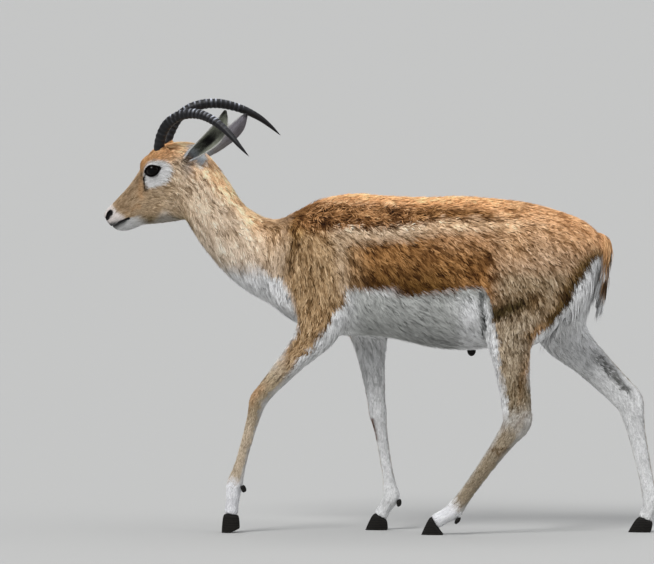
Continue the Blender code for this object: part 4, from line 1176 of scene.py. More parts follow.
# %% [markdown]
# A leg's markings follow the leg, not the picture: white inside, tan outside, and a darker knee or
# hock. Down counts the joints from the knee or hock, front and outer are shares of the radius.

# %% Colours of the legs
def foreleg_colours(colour, down, front):
    lay(colour, FORE_CANNON, ramp(1.05, 1.4, down) * 0.9)
    lay(colour, RUMP, bump(0.95, 0.16, down) * ramp(-0.2, 0.5, front) * 0.6)
    lay(colour, WHITE, ramp(-0.25, -0.70, front) * 0.85)
    lay(colour, WHITE, ramp(0.74, 0.98, front) * ramp(0.9, 0.6, down) * 0.9)


def hindleg_colours(colour, down, front):
    lay(colour, GASKIN, ramp(1.2, 0.8, down))
    lay(colour, HIND_CANNON, ramp(0.5, 0.9, down) * 0.8)
    lay(colour, BROWN, bump(-0.60, 0.35, front) * ramp(0.95, 0.5, down) * 0.75)
    lay(colour, WHITE, ramp(0.42, 0.80, front) * ramp(1.0, 0.8, down))
    lay(colour, WHITE, bump(0.95, 0.12, down) * 0.35)
    lay(colour, WHITE, ramp(0.45, 0.95, front) * 0.35)
    lay(colour, WHITE, ramp(-0.55, -0.95, front) * ramp(0.8, 1.1, down) * 0.5)


def own_marks(colours, measured, leg, down, apart, front, outer):
    """The marks that only one leg has in the photograph."""
    across, rows = to_pixels(measured)
    if leg == "fore_right":
        lay_strokes(colours, across, rows, KNEE_STROKES, ramp(0.04, 0.03, apart))
        lay_strokes(colours, across, rows, FOREARM_STROKES, ramp(0.06, 0.05, apart))
    if leg == "hind_left":
        lay_strokes(colours, across, rows, HOCK_STROKES, ramp(0.06, 0.05, apart) * ramp(-0.2, 0.2, outer))
    if leg == "hind_right":
        streak = bump(-0.62, 0.30, front) * ramp(0.22, 0.42, down) * ramp(1.02, 0.90, down)
        speckle = np.clip(streak * (1.15 + 0.9 * cloud(measured, 0.005, 17)), 0, 1)
        lay(colours, HOCK_STREAK, speckle * ramp(0.06, 0.045, apart) * 0.9)


def leg_colours(colours, measured, wobble):
    """Lays the legs' own markings over the colours, by the place along and round each leg."""
    for leg in LEGS:
        down, apart, front, outer = along_leg(measured, leg)
        down = down + wobble * 0.05
        front = front + wobble * 0.16
        outer = outer + wobble * 0.10
        colour = plain(LEG_TAN, measured)
        paint = foreleg_colours if leg.startswith("fore") else hindleg_colours
        paint(colour, down, front)
        lay(colour, WHITE, ramp(0.00, -0.45, outer))
        lay(colour, PASTERN, ramp(1.86, 2.02, down))
        lay(colour, GREY, bump(2.96, 0.06, down) * 0.5)
        on_leg = ramp(0.060, 0.045, apart) * ramp(0.25, 0.75, down)
        lay(colours, colour, on_leg)
        if leg.startswith("fore"):
            edge = ramp(0.74, 0.98, front) * ramp(-0.45, -0.10, down) * ramp(0.85, 0.65, down)
            lay(colours, WHITE, edge * ramp(0.075, 0.055, apart) * 0.9)
        inside = ramp(0.10, -0.30, outer) * ramp(0.095, 0.060, apart) * ramp(-1.0, -0.2, down)
        lay(colours, WHITE, inside)
        own_marks(colours, measured, leg, down, apart, front, outer)


print("marks of single legs:", len(KNEE_STROKES + FOREARM_STROKES + HOCK_STROKES))

# %% [markdown]
# The head has the finest markings: a white ring round the eye, a dark stripe on the side of the
# nose, a pale muzzle and bare black skin on lids, nostrils and lips. They are laid in the head's own
# frame, with the same brush.

# %% Colours of the head
FACE_STROKES = (
    (BROWN, (0.1065, -0.007), (0.0714, -0.0203), 0.0055, 0.7),
    (BROWN, (0.120, -0.010), (0.098, -0.022), 0.0045, 0.6),
    (FOREHEAD, (0.082, -0.034), (0.110, -0.028), 0.006, 0.6),
)
RING_MIDDLE = (-0.001, -0.010)


def head_part(local):
    """1 on the head and 0 on the neck, which meet on a slanting line behind the jaw."""
    ahead = (local[:, 0] + 0.095) * 0.77 + (local[:, 2] + 0.010) * 0.64
    near_head = (np.abs(local[:, 1]) < 0.09) & (local[:, 2] > -0.17) & (local[:, 0] > -0.14)
    return ramp(-0.014, 0.014, ahead) * near_head


def paint_face(colours, local, x, z):
    """The fur of forehead, cheek and nose, broken up by a mottling."""
    mottle = np.clip(0.5 + 0.9 * cloud(local, 0.007, 15), 0, 1)
    lay(colours, NECK_SIDE, ramp(0.005, -0.045, x) * ramp(0.005, -0.02, z) * 0.8)
    lay(colours, NECK_SIDE, mottle * ramp(0.050, 0.010, x) * ramp(0.0, -0.03, z) * 0.35)
    lay(colours, FOREHEAD, ramp(0.038, 0.015, x) * ramp(0.006, 0.018, z))
    lay(colours, ORANGE, ramp(0.0, -0.025, x) * ramp(-0.025, 0.010, z) * 0.75)
    lay(colours, FOREHEAD, bump(0, 0.016, np.hypot(x + 0.022, z - 0.026)) * 0.7)
    lay(colours, NAPE, ramp(-0.050, -0.080, x) * ramp(-0.03, -0.01, z))
    lay(colours, FOREHEAD, stroke(x, z, (0.036, 0.004), (0.062, -0.022), 0.009) * 0.55)
    over_jaw = z + 0.072 - 0.635 * (x - 0.103)
    on_jaw = ramp(0.034, 0.010, over_jaw) * ramp(0.115, 0.095, x) * ramp(-0.01, 0.02, x)
    lay(colours, JAW, on_jaw * 0.9)
    lay_strokes(colours, x, z, FACE_STROKES, mottle)
    lay(colours, FACE_STRIPE, stroke(x, z, (0.030, 0.006), (0.116, -0.004), 0.011) * (0.50 + 0.50 * mottle))
    lay(colours, FACE_STRIPE, stroke(x, z, (0.095, -0.020), (0.118, -0.024), 0.006) * 0.5)


def paint_white(colours, x, wide, z):
    """The ring round the eye with painted shade below it, the muzzle, the chin and the dark patch below the
    ear.
    """
    up, ahead = z - RING_MIDDLE[1], x - RING_MIDDLE[0]
    ring = np.hypot(up, ahead) / line_at(EYE_RING_EDGE, np.degrees(np.arctan2(up, ahead)))
    lay(colours, EYE_RING, ramp(1.14, 0.84, ring) * (wide > 0.02))
    # painted shade below the eye
    lay(colours, GREY, stroke(x, z, (0.012, -0.017), (-0.016, -0.010), 0.004) * (wide > 0.02) * 0.35)
    lay(colours, MUZZLE, ramp(0.124, 0.135, x - z * 0.2) * 0.95)
    lay(colours, WHITE, ramp(0.002, -0.003, z - mouth_line(x)) * ramp(0.085, 0.112, x) * 0.9)
    on_chin = ramp(-0.060, -0.074, z + x * 0.15) * ramp(0.16, 0.09, x) * ramp(0.03, 0.06, x)
    lay(colours, WHITE, on_chin * 0.35)
    lay(colours, BELOW_EAR, bump(0, 0.016, np.hypot(x + 0.070, z + 0.045)) * (wide > 0.02) * 0.9)


def paint_bare_skin(colours, local, x, wide, z):
    """Black skin of the lids, the gland, the nostrils and the mouth, and the grey lips."""
    lid, _ = lid_place(local[:, 0], wide, local[:, 2])
    lay(colours, BLACK, ramp(1.24, 1.14, lid))
    lay(colours, BLACK, stroke(x, z, (0.0160, 0.0045), GLAND[0], 0.0020) * (wide > 0.018))
    for start, end in zip(GLAND, GLAND[1:]):
        lay(colours, BLACK, ramp(0.0034, 0.0014, to_segment(x, z, start, end)) * (wide > 0.016))
    lay(colours, FACE_STRIPE, stroke(x, z, GLAND[1], (0.052, -0.026), 0.005) * (wide > 0.016) * 0.5)
    lay(colours, BLACK, ramp(1.30, 1.10, np.hypot(*nostril_place(x, z))) * (wide > 0.005))
    lips = z - mouth_line(x)
    in_mouth = ramp(MOUTH_CORNER[0] - 0.001, MOUTH_CORNER[0] + 0.003, x)
    lay(colours, BLACK, ramp(1.6, 0.9, np.abs(lips) / MOUTH_HALF_BAND) * in_mouth)
    lay(colours, UPPER_LIP, bump(0.0045, 0.0055, lips) * ramp(0.126, 0.150, x))
    lay(colours, LOWER_LIP, bump(-0.0045, 0.0040, lips) * ramp(0.110, 0.135, x) * 0.7)


def head_colours(local, wobble):
    """Colours of the head in its own frame."""
    x = local[:, 0] + wobble * 0.002
    z = local[:, 2] + wobble * 0.0018
    wide = np.abs(local[:, 1])
    colours = plain(FACE, local)
    paint_face(colours, local, x, z)
    paint_white(colours, x, wide, z)
    paint_bare_skin(colours, local, x, wide, z)
    return colours


print("colour of the cheek:", head_colours(np.array([[0.02, 0.03, -0.04]]), np.zeros(1)).round(2))

# %% [markdown]
# The ears are pale at their rims, black in the middle of the cup and at the tip, and the tail is
# brown outside and white beneath. Both have their own lines, so a point's colour comes from its
# place along the line and from the way its surface faces.

# %% Colours of ears and tail
EAR_HAIR = 0.006
EAR_DEPTH = 0.0007
ear_lines = {which: ear_frame(which) for which in EARS}


def ear_places(points, which):
    """Where points lie on an ear: the nearest station, its share of the length and how much of
    the point belongs to the ear."""
    line, _, _ = ear_lines[which]
    apart = np.linalg.norm(points[:, None] - line[None], axis=2)
    nearest = apart.argmin(axis=1)
    share = nearest / (len(line) - 1)
    distance = apart[np.arange(len(points)), nearest]
    return nearest, share, ramp(0.10, 0.20, share) * ramp(0.036, 0.030, distance)


def lie_of_hair(points, normals):
    """The lie of the hair in the skin's surface, its length, the coat's depth and how much of
    each point belongs to an ear."""
    lies, lengths, depths = comb(points)
    on_ear = np.zeros(len(points))
    for which, (_, along, _) in ear_lines.items():
        nearest, _, here = ear_places(points, which)
        lies = lies * (1 - here[:, None]) + along[nearest] * here[:, None]
        on_ear = np.maximum(on_ear, here)
    lies = unit(lies - normals * (lies * normals).sum(axis=1, keepdims=True))
    lengths = lengths + (EAR_HAIR - lengths) * on_ear
    depths = depths + (EAR_DEPTH - depths) * on_ear
    return lies, lengths, depths, on_ear


def ear_colours(colours, points, normals):
    """Lays the ears' colours over the head's."""
    shape = np.array(EAR_SHAPE)
    for which, (line, _, out) in ear_lines.items():
        nearest, share, here = ear_places(points, which)
        inside = ramp(0.0, 0.35, (normals * out[nearest]).sum(axis=1))
        curl = np.interp(share, shape[:, 0], shape[:, 2])
        half = EAR_HALF_WIDTH * np.interp(share, shape[:, 0], shape[:, 1])
        rim_rise = np.where(curl > math.pi / 2, half, half / np.sin(curl)) * (1 - np.cos(curl))
        rise = ((points - line[nearest]) * out[nearest]).sum(axis=1)
        rim = rise / np.maximum(rim_rise, 0.002)
        outer = plain(EAR_BACKS[which], points)
        lay(outer, EAR_FOLD, ramp(0.30, 0.70, share) * ramp(0.75, 0.45, rim) * 0.8)
        lay(outer, BLACK, ramp(0.88, 0.98, share) * 0.85)
        lay(outer, EAR_EDGE, ramp(0.60, 0.95, rim) * ramp(0.97, 0.90, share) * 0.8)
        inner = plain(EAR_INSIDE, points)
        lay(inner, BLACK, bump(0.50, 0.20, share) * ramp(0.42, 0.16, rim))
        lay(inner, BLACK, bump(0.17, 0.05, share) * ramp(0.60, 0.30, rim))
        lay(inner, BLACK, ramp(0.86, 0.97, share) * 0.85)
        lay(inner, EAR_INNER_EDGE, ramp(0.72, 0.98, rim) * ramp(0.95, 0.85, share) * 0.85)
        for side in (outer, inner):
            lay(side, EAR_ROOT, ramp(0.34, 0.20, share) * 0.8)
        lay(outer, inner, inside)
        lay(colours, outer, here)


def tail_colours(colours, points, normals, streak):
    """The tail is brown outside and white at its edges and beneath."""
    height = points[:, 2] - shift.z
    outside = normals[:, 0] - 0.20 * np.abs(normals[:, 1])
    colour = plain(WHITE, points)
    lay(colour, TAIL_STRAND, ramp(0.05, -0.45, streak) * ramp(0.565, 0.530, height) * 0.9)
    outer = np.maximum(ramp(0.30, 0.75, outside), ramp(0.568, 0.585, height))
    lay(colour, TAIL_BROWN, outer * ramp(0.515, 0.550, height))
    lay(colour, TAIL_TOP, ramp(0.590, 0.615, height))
    lay(colours, colour, tail_share(points))


def coat_colours(points, normals, streak):
    """The colour of skin and coat at each point. The streaks of the hair move the borders."""
    measured = points - shift_row
    wobble = cloud(points, 0.009, 11) * 0.6 + streak * 0.75
    colours = trunk_colours(measured, wobble)
    leg_colours(colours, measured, wobble)
    local = in_head(points)
    lay(colours, head_colours(local, wobble), head_part(local))
    ear_colours(colours, points, normals)
    tail_colours(colours, points, normals, streak)
    colours *= (1 + 0.10 * cloud(points, 0.030, 13) + 0.08 * cloud(points, 0.012, 14))[:, None]
    return np.clip(colours, 0.004, 0.92)


print("stations of the ears:", [len(line) for line, _, _ in ear_lines.values()])

# %% [markdown]
# Streaks are what makes a coat look like hair from a few steps away: neighbouring hairs share their
# shade along their length. A cloud of values, averaged along the lie of the hair, gives streaks
# that follow every whorl.

# %% Streaks along the hair
STREAK_STEPS = 10
STREAK_SHARE = 1.15
STREAK_WIDTH = 0.125
STREAK_GAIN = 4.4
STREAK_LENGTHS = ((0, 0.008, 0.0062), (0.008, 0.0125, 0.0110), (0.0125, 1, 0.0170))


def streaks(points, lies, lengths, seed):
    """Values about from -1 to 1, alike along the hair and different across it. Longer hair
    makes broader streaks."""
    total = np.zeros(len(points))
    for low, high, typical in STREAK_LENGTHS:
        here = (lengths >= low) & (lengths < high)
        for k in range(STREAK_STEPS if here.any() else 0):
            offset = ((k + 0.5) / STREAK_STEPS - 0.5) * typical * STREAK_SHARE
            along = points[here] + lies[here] * offset
            total[here] += 0.80 * cloud(along, typical * STREAK_WIDTH, seed)
            total[here] += 0.30 * cloud(along, typical * STREAK_WIDTH * 2.3, seed + 1)
    value = total / STREAK_STEPS * STREAK_GAIN
    return np.clip(value - 0.35 * (value**2 - 0.3), -2.0, 1.3)


def vary(colours, light):
    """Colours made lighter or darker by a power. Light hair is creamier and dark hair redder."""
    warm = np.clip((1 - colours[:, 2:] / np.maximum(colours[:, :1], 0.001)) * 1.3, 0, 1)
    powers = 1 + warm * np.array((-0.14, 0.0, 0.22))
    return np.clip(colours * np.exp(light[:, None] * powers), 0.002, 0.92)


def contrast(colours, lengths):
    """How strongly a coat is streaked: dark hair more than white, long hair more than short."""
    calm = 0.42 + 0.58 * ramp(0.0040, 0.0120, lengths)
    warm = ramp(0.10, 0.42, 1 - colours[:, 2] / np.maximum(colours[:, 0], 0.001))
    return (0.32 + 0.37 * warm + 0.55 * ramp(0.27, 0.06, colours.mean(axis=1))) * calm


print("lengths of hair with streaks of their own:", len(STREAK_LENGTHS))

# %% [markdown]
# Skin and tufts get their colour as an attribute of their points, because a pattern that follows
# the surface stays on it wherever the mesh goes. A picture wrapped on the skin would do as well, but
# would need a file. The skin is darker than the hair over it, as the shade between hairs is.

# %% Colour the skin
SHADE_OF_SKIN = 0.55
STREAK_SEED = 21


def set_colours(mesh, colours):
    attribute = mesh.color_attributes.new("coat", "FLOAT_COLOR", "POINT")
    values = np.ones((len(colours), 4), np.float32)
    values[:, :3] = colours
    attribute.data.foreach_set("color", values.ravel())


skin_points = read_points(skin.data)
skin_normals = read_normals(skin.data)
skin_lies, skin_lengths, skin_depths, skin_ear = lie_of_hair(skin_points, skin_normals)
skin_streaks = streaks(skin_points, skin_lies, skin_lengths, STREAK_SEED)
skin_colours = coat_colours(skin_points, skin_normals, skin_streaks)
skin_contrast = contrast(skin_colours, skin_lengths)
set_colours(skin.data, vary(skin_colours, skin_contrast * (skin_streaks - SHADE_OF_SKIN)))
print("skin coloured:", len(skin_points), "spread of streaks:", round(skin_streaks.std(), 2))

# %% [markdown]
# The tufts take their map from the skin's own unwrap, so that a later bake can give each tuft the
# colour of its root. The unwrap is made once, by projecting each side of the skin flat.

# %% Unwrap the skin
make_active(skin)
bpy.ops.object.mode_set(mode="EDIT")
bpy.ops.mesh.select_all(action="SELECT")
bpy.ops.uv.smart_project(angle_limit=math.radians(70), island_margin=0.002)
bpy.ops.object.mode_set(mode="OBJECT")
skin.data.uv_layers[0].name = "OFBake"
skin_corners = np.empty(len(skin.data.loops) * 2, np.float32)
skin.data.uv_layers["OFBake"].data.foreach_get("uv", skin_corners)
skin_corners = skin_corners.reshape(-1, 3, 2)
skin_triangles = np.empty(len(skin.data.loops), np.int32)
skin.data.loops.foreach_get("vertex_index", skin_triangles)
skin_triangles = skin_triangles.reshape(-1, 3)
print("unwrapped triangles:", len(skin_triangles))

# %% [markdown]
# The material of hair is soft and slightly shining. Its colour is the attribute that was just laid
# on the skin, broken up by a fine noise, and the same noise makes a bump, as short hair does.

# %% Material of the coat
def add_node(tree, kind, **values):
    """A new node of a material, with the inputs of these names set."""
    node = tree.nodes.new("ShaderNode" + kind)
    for name, value in values.items():
        node.inputs[name.replace("_", " ")].default_value = value
    return node


def painted_material(name, colour, roughness, shine):
    """A material whose colour is the attribute of the mesh, with its shader and attribute."""
    material, tree, shader = new_material(name, colour, roughness)
    shader.inputs["Specular IOR Level"].default_value = shine
    attribute = add_node(tree, "Attribute")
    attribute.attribute_name = "coat"
    tree.links.new(attribute.outputs["Color"], shader.inputs["Base Color"])
    return material, tree, shader, attribute


def add_bump(tree, shader, texture, strength, distance):
    """Raises the surface where the texture is light."""
    place = add_node(tree, "TexCoord")
    raised = add_node(tree, "Bump", Strength=strength, Distance=distance)
    tree.links.new(place.outputs["Object"], texture.inputs["Vector"])
    tree.links.new(texture.outputs["Fac"], raised.inputs["Height"])
    tree.links.new(raised.outputs["Normal"], shader.inputs["Normal"])


def coat_material(name, bump_strength, grain):
    material, tree, shader, attribute = painted_material(name, FLANK, 0.80, 0.10)
    noise = add_node(tree, "TexNoise", Scale=grain, Detail=3)
    add_bump(tree, shader, noise, bump_strength, 0.001)
    spread = add_node(tree, "MapRange", From_Min=0.3, From_Max=0.7, To_Min=0.86, To_Max=1.10)
    mix = add_node(tree, "VectorMath")
    mix.operation = "SCALE"
    tree.links.new(noise.outputs["Fac"], spread.inputs["Value"])
    tree.links.new(attribute.outputs["Color"], mix.inputs[0])
    tree.links.new(spread.outputs["Result"], mix.inputs["Scale"])
    tree.links.new(mix.outputs["Vector"], shader.inputs["Base Color"])
    return material


skin_material = coat_material("short_hair", 0.6, 700)
tuft_material = coat_material("tufts", 0.25, 900)
skin.data.materials.clear()
skin.data.materials.append(skin_material)
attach(skin, "root")
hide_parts("head", "neck", "torso", "tail", "ear_left", "ear_right",
            *[node for node in FLESH if node.startswith(("fore", "hind"))])
print("materials of the coat:", skin_material.name, "and", tuft_material.name)

# %% [markdown]
# A tuft is a tapered lock of a few hairs that stick together. As a solid it can be very plain: a
# sunk root, a ring of three points where it is widest, and a tip, so six triangles. Long hair gets
# two more rings so that it can bend. Each root is drawn at random on the skin, and the ring and
# tip are then laid at a small height over the nearest skin, so that every tuft follows the body.

# %% Plant the tufts
MAP_PATCH = 0.003

skin_tree = BVHTree.FromPolygons(skin_points.tolist(), skin_triangles.tolist())
triangle_points = skin_points[skin_triangles]
first_sides = triangle_points[:, 1] - triangle_points[:, 0]
second_sides = triangle_points[:, 2] - triangle_points[:, 0]
triangle_areas = np.linalg.norm(np.cross(first_sides, second_sides), axis=1) / 2
triangle_middles = triangle_points.mean(axis=1)


def over_skin(points, heights):
    """Points moved to a height over the skin nearest to them."""
    placed = np.empty_like(points)
    for k, (point, height) in enumerate(zip(points, heights)):
        near, normal, _, _ = skin_tree.find_nearest(point)
        placed[k] = near + normal * height
    return placed


def plant(count, density, draw):
    """Roots on the skin, spread as density says, with all that the skin knows at each."""
    weights = triangle_areas * density
    chosen = draw.choice(len(weights), size=count, p=weights / weights.sum())
    mix = draw.random((count, 2))
    over = mix.sum(axis=1) > 1
    mix[over] = 1 - mix[over]
    shares = np.column_stack([1 - mix.sum(axis=1), mix])
    corners = skin_triangles[chosen]

    def blend(values):
        return (values[corners] * shares[:, :, None]).sum(axis=1)

    return {
        "points": blend(skin_points),
        "normals": unit(blend(skin_normals)),
        "lies": blend(skin_lies),
        "lengths": blend(skin_lengths[:, None])[:, 0],
        "depths": blend(skin_depths[:, None])[:, 0],
        "map": (skin_corners[chosen] * shares[:, :, None]).sum(axis=1),
    }


print("area of the skin in square metres:", round(triangle_areas.sum(), 2))

# %% [markdown]
# The tufts of a piece are one mesh, built from arrays, because twenty thousand objects would choke
# any program. Each tuft is closed, so light and export see a solid. Its normals lean toward the
# skin's, which gives the coat an even light, and its patch on the map lies where its root does.

# %% Build the mesh of the tufts
def tuft_faces(rings):
    """The faces of one tuft: a fan at the root, bands between its rings and a fan at the tip."""
    faces = [(0, 1, 2), (0, 2, 3), (0, 3, 1)]
    for ring in range(rings - 1):
        low = 1 + 3 * ring
        high = low + 3
        for a, b in ((0, 1), (1, 2), (2, 0)):
            faces += [(low + a, high + b, low + b), (low + a, high + a, high + b)]
    top = 1 + 3 * (rings - 1)
    tip = top + 3
    return np.array(faces + [(top, tip, top + 1), (top + 1, tip, top + 2), (top + 2, tip, top)])


def tuft_mesh(name, stations, widths, thicks, normals, colours, maps):
    """A mesh of tufts. Stations are the middle points from root to tip, (stations, tufts, 3)."""
    rings = len(stations) - 2
    count = stations.shape[1]
    per_tuft = 2 + 3 * rings
    points = np.empty((count, per_tuft, 3))
    tints = np.empty((count, per_tuft, 3))
    spots = np.empty((count, per_tuft, 2))
    leans = np.repeat(normals[:, None], per_tuft, axis=1)
    for end, way in ((0, -0.5), (-1, 0.5)):
        points[:, end] = stations[end]
        tints[:, end] = colours[end]
        spots[:, end] = maps + (0, way * MAP_PATCH)
    for ring in range(rings):
        centre = stations[ring + 1]
        along = unit(stations[ring + 2] - stations[ring])
        across = unit(np.cross(normals, along))
        above = np.cross(along, across)
        half = widths[ring][:, None] / 2
        thick = thicks[ring][:, None]
        rise = (ring + 1) / (rings + 1) - 0.5
        corners = (
            (centre + across * half, normals * 0.75 + across * 0.45, 0.5),
            (centre - across * half, normals * 0.75 - across * 0.45, -0.5),
            (centre + above * thick, normals * 0.9 + above * 0.3, 0.0),
        )
        for k, (corner, lean, sideways) in enumerate(corners, 1 + 3 * ring):
            points[:, k] = corner
            leans[:, k] = lean
            tints[:, k] = colours[ring + 1]
            spots[:, k] = maps + (sideways * MAP_PATCH, rise * MAP_PATCH)
    faces = tuft_faces(rings)
    corners = (faces[None] + (np.arange(count) * per_tuft)[:, None, None]).reshape(-1)
    mesh = bpy.data.meshes.new(name)
    mesh.vertices.add(count * per_tuft)
    mesh.vertices.foreach_set("co", points.astype(np.float32).ravel())
    mesh.loops.add(len(corners))
    mesh.loops.foreach_set("vertex_index", corners.astype(np.int32))
    mesh.polygons.add(len(corners) // 3)
    mesh.polygons.foreach_set("loop_start", np.arange(0, len(corners), 3, dtype=np.int32))
    mesh.update(calc_edges=True)
    mesh.shade_smooth()
    mesh.normals_split_custom_set_from_vertices(unit(leans.reshape(-1, 3)).tolist())
    set_colours(mesh, tints.reshape(-1, 3))
    layer = mesh.uv_layers.new(name="OFBake")
    layer.data.foreach_set("uv", spots.reshape(-1, 2)[corners].astype(np.float32).ravel())
    return mesh


def bare_share(local):
    """Where no hair grows on the head: the eyes, nostrils, mouth line and gland."""
    x, z = local[:, 0], local[:, 2]
    wide = np.abs(local[:, 1])
    lid, _ = lid_place(x, wide, z)
    in_nostril = ramp(1.45, 1.2, np.hypot(*nostril_place(x, z))) * (wide > 0.004)
    bare = np.maximum(ramp(1.22, 1.12, lid), in_nostril)
    by_mouth = (x > MOUTH_CORNER[0] - 0.002) & (z > -0.06)
    bare = np.maximum(bare, ramp(1.5, 0.8, np.abs(z - mouth_line(x)) / MOUTH_HALF_BAND) * by_mouth)
    for start, end in ((GROOVE_START, GLAND[0]), *zip(GLAND, GLAND[1:])):
        far = to_segment(x, z, start, end)
        bare = np.maximum(bare, ramp(0.0038, 0.0020, far) * (wide > 0.016))
    return bare


def curly_share(points):
    """How curly the hair is: it stands in loose curls low on the saddle."""
    across, down = near_side_view(points - shift_row)
    top = below(SADDLE_TOP, across, down)
    foot = below(SADDLE_FOOT, across, down)
    return ramp(-4, 2, top) * ramp(6, -2, foot) * ramp(285, 320, across) * ramp(470, 400, across)


print("triangles of a short and of a long tuft:", len(tuft_faces(1)), len(tuft_faces(3)))

# %% [markdown]
# Each tuft differs a little in length, turn and height, and neighbours turn together in clumps, as
# damp or brushed hair does. About one tuft in twenty strays. Curly hair turns more and lifts more. Light
# and dark follow the streaks of the skin. Each tuft is darker at its root, as painted shade between
# the tufts, and lighter toward its tip, partly as paler tips and partly as painted light. Tufts that
# lie higher are painted a little lighter, as painted light.

# %% Grow a piece of the coat
STRAYS = 0.045
ROOT_SINK = 0.0006
# Painted shade darkens the roots of the tufts; the tips are lighter, partly as paler hair and partly as
# painted light.
ROOT_SHADE = 1.10
TIP_GAIN = 0.62
RING_SHADE = 0.30
TUFT_FLATNESS = 0.28
SHORT_RING = 0.42


def lay_stations(found, lies, lengths, lift, places, hang):
    """The middle points of the tufts, from the sunk root to the tip."""
    points, normals = found["points"], found["normals"]
    stations = [points - normals * ROOT_SINK]
    for place in places:
        reached = points + lies * (lengths * place)[:, None]
        height = lift * place**0.7
        if hang:
            fall = points + np.array(hang[1]) * (lengths * place**1.6)[:, None]
            stations.append(reached * (1 - place * 0.5) + fall * place * 0.5 + normals * height[:, None])
        else:
            stations.append(over_skin(reached, height))
    return np.array(stations)


def grow_coat(name, count, density, width, seed, rings=1, wild=0.16, hang=None):
    """One piece of the coat: tufts of this width over the part of the skin that density picks.
    Hair that hangs free has a length and a lie of its own and leaves the skin."""
    draw = np.random.default_rng(seed)
    found = plant(count, density, draw)
    points, normals = found["points"], found["normals"]
    streak = streaks(points, found["lies"], found["lengths"], STREAK_SEED)
    lengths = found["lengths"] * draw.uniform(0.75, 1.25, count)
    if hang:
        lengths = draw.uniform(*hang[0], count)
    stray = draw.random(count) < STRAYS
    lengths = lengths * np.where(stray, 1.25, 1.0)

    clump = cloud(points, 0.016, seed + 1) * 0.30 + cloud(points, 0.006, seed + 2) * 0.20
    curl = curly_share(points)
    turn = (clump + draw.normal(0, wild, count)) * (1 + 1.6 * curl)
    across = np.cross(normals, found["lies"])
    lies = found["lies"] * np.cos(turn)[:, None] + across * np.sin(turn)[:, None]
    level = np.clip(0.5 + 0.38 * streak + draw.normal(0, 0.16, count), 0, 1)
    lift = found["depths"] * np.where(stray, 1.35, 0.14 + 0.86 * level) * (1 + 0.3 * curl)
    places = np.linspace(0, 1, rings + 2)[1:]
    if rings == 1:
        places[0] = SHORT_RING
    stations = lay_stations(found, lies, lengths, lift, places, hang)

    kept = np.ones(count, bool)
    for station in stations:
        kept &= draw.random(count) > bare_share(in_head(station))
    colours = coat_colours(points, normals, streak)
    strength = contrast(colours, found["lengths"]) * (1 + 0.5 * curl)
    # Tufts that lie higher are a little lighter, as painted light; the root is darker, as painted shade.
    light = strength * (streak + draw.normal(0, 0.16, count) + 0.25 * (level - 0.5))
    lights = [light - ROOT_SHADE * strength]
    lights += [light + strength * (TIP_GAIN * place - RING_SHADE) for place in places]
    tints = [vary(colours, shade)[kept] for shade in lights]
    size = width * draw.uniform(0.75, 1.25, count) * np.where(stray, 0.6, 1.0)
    widths = [(size * math.sin(math.pi * min(1, 0.25 + 0.55 * place)))[kept] for place in places[:-1]]
    thicks = [ring_width * TUFT_FLATNESS for ring_width in widths]
    mesh = tuft_mesh(name, stations[:, kept], widths, thicks, normals[kept], tints, found["map"][kept])
    mesh.materials.append(tuft_material)
    item = new_object(name, mesh)
    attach(item, "root")
    print(name, int(kept.sum()), "tufts", len(mesh.polygons), "triangles")


print("of every", round(1 / STRAYS), "tufts one strays")

# %% [markdown]
# The coat is grown in pieces, so that each stays light enough to handle. The face gets the smallest
# tufts and the trunk the broadest. Tail and the fringe beside it have long hair that hangs free.

# %% Where each piece of the coat grows
place = triangle_middles - shift_row
head_middles = in_head(triangle_middles)
on_ears = skin_ear[skin_triangles].mean(axis=1) > 0.5
on_head = ~on_ears & (head_part(head_middles) > 0.5)
on_neck = ~on_ears & ~on_head & (place[:, 0] < -0.245) & (place[:, 2] > 0.47)
on_tail = tail_share(triangle_middles) > 0.5
leg_share = np.zeros(len(place))
for leg in LEGS:
    down, apart, _, _ = along_leg(place, leg)
    leg_share = np.maximum(leg_share, (down > 0.15) & (apart < 0.062))
on_legs = (leg_share > 0) & ~on_neck
on_trunk = ~(on_ears | on_head | on_neck | on_tail | on_legs)
front = place[:, 0] < 0.02
left = place[:, 1] < 0

nose_first = 1 + (head_middles[:, 0] > 0.02)
SHORT_COAT = (
    ("coat_head", 33000, on_head * nose_first, 0.0012),
    ("coat_neck", 30000, on_neck, 0.0021),
    ("coat_ears", 9000, on_ears, 0.0008),
    ("coat_shoulder_left", 22000, on_trunk & front & left, 0.0025),
    ("coat_shoulder_right", 22000, on_trunk & front & ~left, 0.0025),
    ("coat_flank_left", 32000, on_trunk & ~front & left, 0.0025),
    ("coat_flank_right", 32000, on_trunk & ~front & ~left, 0.0025),
    ("coat_forelegs", 22000, on_legs & (place[:, 0] < 0.06), 0.0017),
    ("coat_hindlegs", 28000, on_legs & (place[:, 0] >= 0.06), 0.0018),
)
FIRST_SEED = 101
for seed, (name, count, density, width) in enumerate(SHORT_COAT, FIRST_SEED):
    grow_coat(name, count, density, width, seed)

seen_across, seen_down = to_pixels(place * (1, 0, 1) + (0, -0.06, 0))
in_white = (behind(RUMP_EDGE, seen_across, seen_down) > 3) & (np.abs(seen_down - 300) < 34)
on_fringe = on_trunk & in_white & (place[:, 0] > 0.36) & (np.abs(place[:, 1]) < 0.07)
grow_coat("coat_tail", 3200, on_tail, 0.0026, 110, rings=3, wild=0.12,
          hang=((0.020, 0.060), (-0.26, 0, -1)))
grow_coat("coat_fringe", 900, on_fringe, 0.0015, 111, rings=3, wild=0.10,
          hang=((0.026, 0.060), (-0.22, 0, -1)))

# %% [markdown]
# A grazing animal's eye is large, dark and wet, and bulges a little beyond its lids. A round ball
# would do, but a slight swelling of the clear front catches the light as a real eye does.

